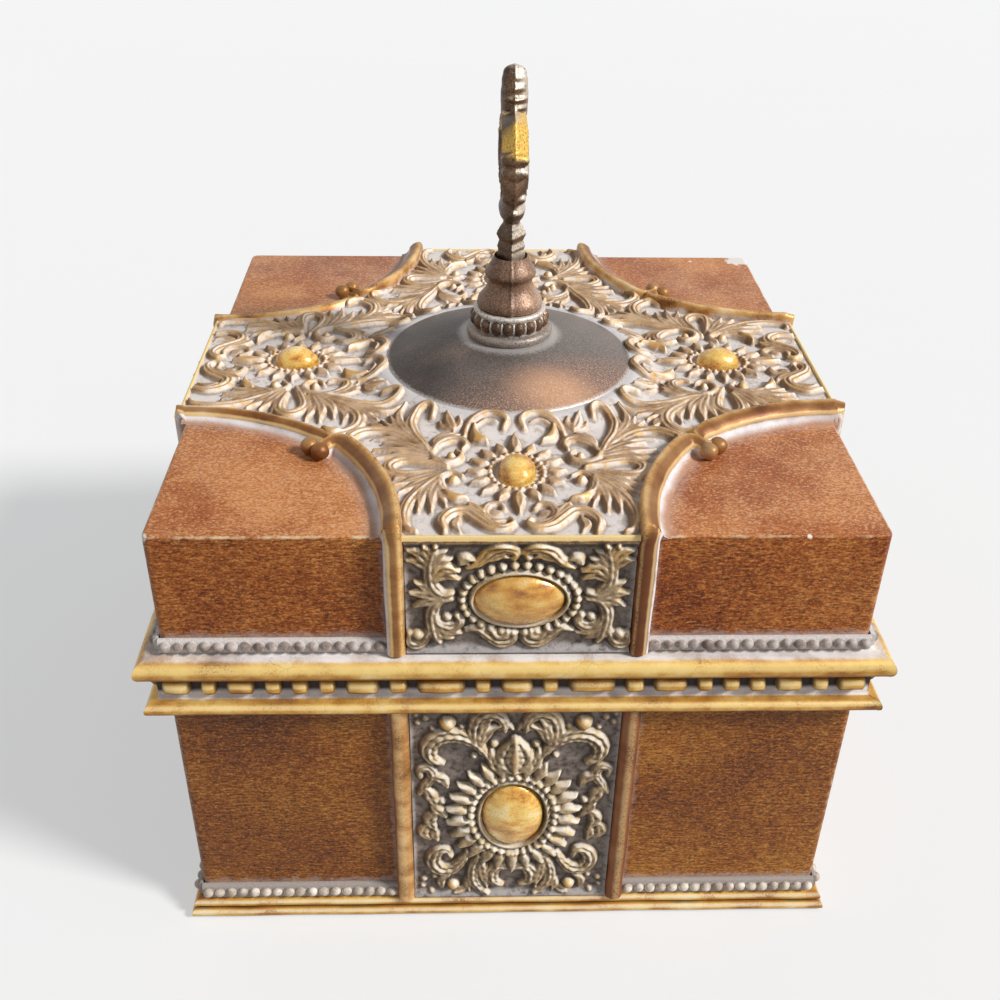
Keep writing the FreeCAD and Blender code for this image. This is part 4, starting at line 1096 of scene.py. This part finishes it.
def lidScrolls(finish):
    hook = {"leave": 33.0, "ball": (47.1, -49.9, lidTop + 2.1), "ballSize": 2.2,
            "turns": [(41.2, -46.9), (43.2, -45.4), (45.2, -45.8), (46.6, -47.6), (47.2, -49.6)]}
    strip = roundSection()
    # (across, out) from the inner flank over the crest to the cove, for three sides and for the left side
    bold = np.array([
        (-2.2, 0), (-2.2, 2.2), (-2.05, 3.3), (-1.7, 4.1), (-1.2, 4.5), (-0.4, 4.4), (0.5, 4.0), (1.3, 3.5),
        (1.9, 2.95), (2.25, 2.45), (2.4, 1.8), (2.7, 1.1), (3.3, 0.5), (4.0, 0.18), (4.9, 0)])
    low = np.array([
        (-2.2, 0), (-1.7, 1.1), (-1.2, 2.0), (-0.8, 2.5), (-0.4, 2.75), (0.1, 2.75), (0.6, 2.6), (1.1, 2.3),
        (1.6, 1.9), (2.0, 1.45), (2.2, 1.0), (2.5, 0.6), (3.0, 0.3), (3.7, 0.1), (4.6, 0)])
    turn = np.radians(np.linspace(0, hook["leave"], 30))
    arc = np.column_stack([scrolls["axisX"] - scrolls["radius"] * np.cos(turn),
                           -scrolls["axisY"] + scrolls["radius"] * np.sin(turn)])
    plan = smoothPath(np.vstack([arc, hook["turns"]]), 0.9)
    start = plan[0][0]
    ways = np.gradient(plan, axis=0)
    ways /= np.linalg.norm(ways, axis=1)[:, None]

    def pair(crest):
        rings = []
        for z in np.linspace(lidRimTop, lidTop, 18):  # up the side
            rings.append([(start + across, -half - out, z) for across, out in strip])
        for tilt in np.radians((18, 36, 45, 54, 72)):  # over the edge, a nearly square corner
            c, s = math.cos(tilt), math.sin(tilt)
            far = 0.75 / max(c, s) + 0.25
            share = tilt / (math.pi / 2)
            rings.append([(start + across, -half - out * far * c, lidTop + out * far * s)
                          for across, out in strip * (1 - share) + crest * share])
        run = np.linspace(0, 1, len(plan))
        for (px, py), (wx, wy), along in zip(plan, ways, run):  # across the top and round the hook
            narrow = np.interp(along, (0, 0.78, 0.9, 1), (1, 1, 0.72, 0.45))
            lower = np.interp(along, (0, 0.8, 1), (1, 1, 0.75))
            rings.append([(px + across * narrow * wy, py - across * narrow * wx, lidTop + out * lower)
                          for across, out in crest])
        right = sweep("scroll", rings, np.linspace(0, 1, len(crest)))
        roughen(right, 0.1, 12, 31)
        ball = sphere("ball", 28, 18, hook["ballSize"], hook["ball"])
        keep(ball, "paint", 0.4)
        roughen(ball, 0.12, 5, 32)
        for part in (right, ball):
            cut(part, (0, 0, 0), (1, 1, 0))
        right = joined("scroll", right, ball)
        smooth(right, 50)
        return mirrored("lid_scroll", right)

    sides = fourSides(pair(bold), "lid_scroll")
    bpy.data.objects.remove(sides["left"])
    sides["left"] = pair(low)  # the left pair is moulded lower than the others
    sides["left"].data.transform(Matrix.Rotation(turns["left"], 4, "Z"))
    rename(sides["left"], "lid_scroll_left_shown")
    dressSides(sides, "lid", finish, "gilt", "lid_scroll")


# Bosses, dome, collar and baluster

def bosses(finish):
    wall, top = -half - relief["sideGround"], lidTop + relief["topGround"]
    for name, body, size, middle, seed in (  # half sizes along x, y and z
            ("box_bosses", "box", (7.9, 4.2, 10.9), (0, wall, panelDesign["middle"]), 42),
            ("lid_bosses", "lid", (10.4, 4.0, 7.0), (0, wall, skirtDesign["middle"]), 40),
            ("top_bosses", "lid", (4.6, 6.0, 4.6), (0, armDesign["middle"], top), 46)):
        egg = sphere(name, 40, 26, 1)
        setPoints(egg, pointsOf(egg) * size + middle)
        roughen(egg, 0.09, 5, seed)
        smooth(egg, 60)
        dress(joined(name, *fourSides(egg, name).values()), body, finish, "boss_gold", name)


def finial(domeFinish, collarFinish, turnedFinish):
    cap = {"rise": 8.1, "apex": lidTop + 11.6, "inner": 11}
    rim = corners("dome")[1].x
    curve = (rim ** 2 + cap["rise"] ** 2) / (2 * cap["rise"])
    radii = np.linspace(rim - 0.5, cap["inner"], 26)
    slope = [(r, cap["apex"] - curve + math.sqrt(curve ** 2 - r ** 2)) for r in radii]
    edge = [(rim - 0.3, lidTop), (rim, lidTop + 0.6), (rim, lidTop + 2.9), (rim - 0.15, lidTop + 3.35)]
    dome = lathe("dome", edge + slope, 128)
    smooth(dome, 50)
    dress(dome, "lid", domeFinish, "bronze", "dome")

    # A row of beads with ribs between them; each has its share of a step, size and stretch
    ring = {"count": 19, "radius": 9.25, "level": 4.7,
            "shapes": ((0.0, 1.55, (1, 0.95, 1.25)), (0.5, 0.5, (1.7, 1, 3.6)))}
    low, high = corners("beaded_collar")
    seat = low.z
    collar = lathe("beaded_collar", [
        (10.9, seat), *arcPoints((10.3, seat + 1.25), 1.35, -60, 90, 8), (9.9, seat + 2.9), (9.3, seat + 3.3),
        (9.1, seat + 5.6), (9.5, seat + 6.4), *arcPoints((9.0, seat + 7.2), 0.75, -50, 100, 7),
        (8.6, high.z)])
    keep(collar, "paint", np.maximum(eased(pointsOf(collar)[:, 2] - seat, 5.6, 6.6), 0.35))
    pieces = [collar]
    for index in range(ring["count"]):
        for share, size, stretch in ring["shapes"]:
            bead = sphere("bead", 12, 8, size)
            setPoints(bead, pointsOf(bead) * stretch + (ring["radius"], 0, seat + ring["level"]))
            bead.data.transform(Matrix.Rotation(2 * math.pi * (index + share) / ring["count"], 4, "Z"))
            keep(bead, "paint", share * 2)
            pieces.append(bead)
    collar = joined("beaded_collar", *pieces)
    smooth(collar, 50)
    dress(collar, "lid", collarFinish, "bronze", "beaded_collar")

    low, high = corners("baluster")
    profile = [(8.2, 0), (8.7, 0.3), (8.85, 1.1), (8.6, 2.2), (7.9, 3.1), (6.9, 4.3), (6.2, 5.6), (5.9, 6.6),
               (5.85, 7.4), (6.1, 8.1), (6.6, 8.7), (6.85, 9.4), (6.6, 10.2), (5.6, 11.6), (4.8, 13),
               (4.4, high.z - low.z)]
    baluster = lathe("baluster", [(radius, low.z + z) for radius, z in profile], 160)
    points = pointsOf(baluster)
    off = np.abs(np.abs(np.arctan2(points[:, 1], points[:, 0])) - math.pi / 2)
    points[:, :2] *= 1 + 0.06 * np.exp(-(off / 0.06) ** 2)[:, None]  # seam of the casting, front and back
    setPoints(baluster, points)
    roughen(baluster, 0.06, 6, 41)
    smooth(baluster, 50)
    dress(baluster, "lid", turnedFinish, "bronze", "baluster")


# Handle, carved on both faces

goldLevel = 190.5  # height of the gilt band

handleDesign = {  # y across and z up, the half thickness as the rise
    "middle": 180, "fat": 1, "lobes": 0,
    "strokes": [
        (ridge, 3.8, 4.6, (0, 154.8, 0, 157.4)),
        (ridge, (3.2, 3.9, 3.4), (4, 4.7, 4.2), (0, 157.6, 0, 159.2, 0, 160.4)),
        (ridge, (3.3, 4.1, 3.4), (4.2, 5, 4.4), (0, 160.9, 0, 162.4, 0, 163.9)),
        (roll, (2.2, 3.2, 3.5, 3), (3, 6.4, 8.2, 7.4), (0, 166.2, 0, 168, 0, 169.8, 0, 171.6)),
        (ridge, 2.7, (5.6, 5.4, 5.6), (0, 171, 0, 173.4, 0, 175.4)),
        (ridge, (2.8, 3, 3.2, 3.5, 3.5, 3.3), (2.2, 3, 3.2, 3.5, 3.6, 2.8), (-3.2, 172.8, -8.6, 174.8, -11.4,
         179.4, -11.2, 185.6, -7.4, 190.6, -1.2, 192.6)),
        (roll, 3, 1.7, (-10.8, 175.2, -10, 175.4)),
        (roll, 3.3, 1.9, (-13.6, 182.5, -11.6, 182.6), 0.5),
        (roll, 3.5, 1.9, (-13.3, 185.5, -11.2, 185.3), 0.5),
        (roll, 3.3, (2.8, 4.2, 3.4), (0, 193.8, 0, 195.2, 0, 196.4), 0.3),
        (roll, 3.4, (3, 4.9, 3.6), (0, 196.2, 0, 197.4, 0, 198.4), 0.3),
        (roll, 3.2, (3, 4.1, 3), (0, 198.4, 0, 199.8, 0, 201.2), 0.3),
        (roll, 2.9, (2.4, 2.9, 2), (0, 200.8, 0, 202, 0, 202.9), 0.3),
    ],
    "leaves": [
        (3.9, 2, -9.4, 177.6, -10.8, 182, -9, 187.2), (3.7, 1.6, -5.6, 174.2, -8.2, 177, -8.2, 180.4),
    ],
}


def applied(piece, kind, **settings):  # a modifier set up and applied
    takeUp(piece)
    modifier = piece.modifiers.new(kind.lower(), kind)
    for key, value in settings.items():
        setattr(modifier, key, value)
    bpy.ops.object.modifier_apply(modifier=modifier.name)


def handle(finish):
    low, high = corners("handle")
    carving = Carving((low.y - 3, low.z - 3), (high.y + 3, high.z + 3), 0.3)
    carving.carve(handleDesign)
    rows, columns = carving.x.shape
    right = sheet("handle", columns - 1, rows - 1)
    setPoints(right, np.column_stack([carving.height.ravel(), carving.x.ravel(), carving.y.ravel()]))
    removeFaces(right, faceMiddles(right)[:, 0] < 0.12)
    edit(right, "DESELECT")
    bpy.ops.mesh.select_non_manifold()
    leaveEdit()
    border = np.zeros(len(right.data.vertices), bool)
    right.data.vertices.foreach_get("select", border)
    points = pointsOf(right)
    points[border, 0] = 0  # both faces meet on the middle plane
    setPoints(right, points)
    piece = mirrored("handle", right)
    faceOut(piece, 1e-6)
    applied(piece, "REMESH", mode="VOXEL", voxel_size=0.28 * mm)
    applied(piece, "SMOOTH", factor=0.5, iterations=3)
    right, back, up = normalsOf(piece).T
    # painted highlight on faces turned right, front and up, towards the light
    paintedHighlight = eased(right * 0.6 - back * 0.3 + up * 0.75, 0.45, 0.9)
    band = eased(-back, 0.3, 0.6) * eased(np.abs(pointsOf(piece)[:, 2] - goldLevel), 4.2, 3.2)
    keep(piece, "paint", np.maximum(paintedHighlight, band))
    smooth(piece, 60)
    dress(piece, "lid", finish, "bronze", "handle")


# Stage, light and camera

seenRays = ("Is Camera Ray", "Is Glossy Ray", "Is Transmission Ray")


def stage():
    floor = primitive("floor", bpy.ops.mesh.primitive_plane_add, size=6)
    edit(floor)
    bpy.ops.mesh.subdivide(number_cuts=8)
    leaveEdit()
    f = Finish("paleFloor", Roughness=0.9, Emission_Strength=1.0)
    camera, glossy, clear = [f.add("ShaderNodeLightPath", out=ray) for ray in seenRays]
    f.colour = f.mix(f.noise(0.01, 2.0), (0.45, 0.45, 0.45, 1), (0.46, 0.46, 0.46, 1))
    glow = f.mix(camera.larger(glossy).larger(clear), (0, 0, 0, 1), (0.45, 0.455, 0.46, 1))
    floor.data.materials.append(f.wear(Emission_Color=glow))

    world = bpy.data.worlds.new("studio")
    bpy.context.scene.world = world
    world.use_nodes = True
    nodes, links = world.node_tree.nodes, world.node_tree.links
    background = nodes["Background"]
    background.inputs["Color"].default_value = (0.98, 0.99, 1.0, 1)
    background.inputs["Strength"].default_value = 0.28
    backdrop = nodes.new("ShaderNodeBackground")
    backdrop.inputs["Color"].default_value = (0.88, 0.88, 0.88, 1)
    path = nodes.new("ShaderNodeLightPath")
    seen = path.outputs[seenRays[0]]
    for ray in seenRays[1:]:
        larger = nodes.new("ShaderNodeMath")
        larger.operation = "MAXIMUM"
        links.new(seen, larger.inputs[0])
        links.new(path.outputs[ray], larger.inputs[1])
        seen = larger.outputs[0]
    either = nodes.new("ShaderNodeMixShader")
    for index, socket in enumerate((seen, background.outputs[0], backdrop.outputs[0])):
        links.new(socket, either.inputs[index])
    links.new(either.outputs[0], nodes["World Output"].inputs[0])

    bpy.ops.object.light_add(type="SUN")
    sun = bpy.context.object
    sun.name = "keyLight"
    sun.rotation_euler = Vector((0.72, -0.3, 0.62)).to_track_quat("Z", "Y").to_euler()
    sun.data.energy = 3.3
    sun.data.angle = math.radians(13)
    sun.data.color = (1.0, 0.985, 0.965)

    eye = bpy.data.cameras.new("camera")
    eye.lens, eye.sensor_width, eye.clip_start = 42.23, 36, 0.01
    camera = bpy.data.objects.new("camera", eye)
    bpy.context.collection.objects.link(camera)
    camera.location = (-0.0130, -0.2940, 0.2708)
    camera.rotation_euler = [math.radians(angle) for angle in (56.97, -0.94, -1.61)]
    bpy.context.scene.camera = camera
    bpy.context.scene.view_settings.view_transform = "Standard"


woodBoards(woodFinish("lidWood", ("561e06", "98501c", "cc8644"), True),
           woodFinish("boxWood", ("502206", "945318", "c68a40"), False))
print("boards done")
rimGolds = ("7c4616", "c08432", "e2b45c", "fae2ac")
rims({  # lines of painted shade and painted highlight: height, reach, colour, share
    "plinth": giltFinish("giltPlinth", {"golds": rimGolds, "lines": (
        (0.3, 0.7, "5e3410", 0.8), (2.3, 0.6, "fdf2d4", 0.6), (3.2, 0.5, "54300f", 0.85),
        (5.1, 0.6, "fdf2d4", 0.6))}),
    "box_rim": giltFinish("giltBoxRim", {"golds": rimGolds, "bandOut": half + 1.6, "lines": (
        (rimBottom + 0.5, 0.9, "6e3e0e", 0.85), (rimBottom + 2.6, 0.8, "fbe0a0", 0.7))}),
    "lid_rim": giltFinish("giltLidRim", {"golds": rimGolds, "washAbove": lidRimTop - 0.8, "lines": (
        (seam + 1.0, 1.4, "6e3e0e", 0.85), (seam + 4.3, 1.6, "f8da8e", 0.75))})})
beadRows(beadFinish())
reelRow(giltFinish("giltReels", {"golds": rimGolds, "ends": True, "lines": (
    (seam - 4.6, 1.1, "4e2c0e", 0.85), (seam - 2.2, 0.8, "fbe2a4", 0.7), (seam - 1.0, 0.5, "6e4418", 0.7))}))
print("mouldings done")
boxStrips(giltFinish("giltStrips", {
    "golds": ("6e421c", "b88044", "deac70", "f6dcb0"), "rightBrown": 0.9, "across": True}))
lidScrolls(giltFinish("giltScrolls", {
    "golds": ("6c3c16", "b07a3c", "daa866", "f6dcb0"), "rightBrown": 0.97, "across": True}))
print("scrolls done")
sideCarving = carvedFinish("sideCarving", {
    "ground": "93867e", "groundDark": "46362c", "groundRange": (0.4, 0.8), "flank": "70583f",
    "body": "a78c6c", "crest": "fbf3e4", "goldCrest": "e6cda0", "groove": "180e06", "lee": "2a1c12"})
sidePanels("box_relief", panelDesign, sideCarving, "box")
sidePanels("lid_relief", skirtDesign, sideCarving, "lid")
topPanel(carvedFinish("topCarving", {
    "ground": "e6dfdc", "groundDark": "a8937e", "groundRange": (0.34, 0.68), "flank": "8e6a48",
    "body": "cdae90", "crest": "fff6ec", "goldCrest": "efc890", "groove": "3e2410", "lee": "70502e",
    "edge": corners("top_relief")[1].x}))
print("carvings done")
bosses(bossFinish())
finial(bronzeFinish("domeBronze", {"tones": ("1c1715", "403a37", "6e645c"), "speck": "94694e", "halo": True}),
       bronzeFinish("collarBronze", {
           "tones": ("30221a", "62493a", "a08774"), "speck": "b98c60", "paint": "eae4dc"}),
       bronzeFinish("turnedBronze", {
           "tones": ("3a261a", "927058", "e6cebc"), "speck": "e0bca0", "speckShare": 0.3}))
handle(bronzeFinish("handleBronze", {
    "tones": ("24140a", "664a32", "b4987a"), "speck": "c8a684", "speckShare": 0.3, "paint": "e8dccb"}))
print("finial done")
lipWood = plainFinish("lipWood", "7a5230", "9b7046", 0.5, (0.15, 0.15, 1))
hidden = {
    "box_floor": plainFinish("floorWood", "6e4526", "8d6038", 0.4, (0.1, 1, 1)),
    "floor_lining": plainFinish("redFelt", "4a1016", "6d1a22", 2.5, roughness=0.95),
    "base_felt": plainFinish("brownFelt", "2f2620", "463a31", 2.5, roughness=0.95),
    "handle_screw": plainFinish("screwSteel", "9b9ba0", "c4c4c8", 1.2, roughness=0.35, metallic=1.0),
    "handle_washer": plainFinish("washerSteel", "8d8d90", "b8b8bc", 1.2, roughness=0.4, metallic=1.0),
    **{"locating_lip_" + side: lipWood for side in turns}}
for node, finish in hidden.items():
    paintWith(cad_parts[node], finish)
stage()
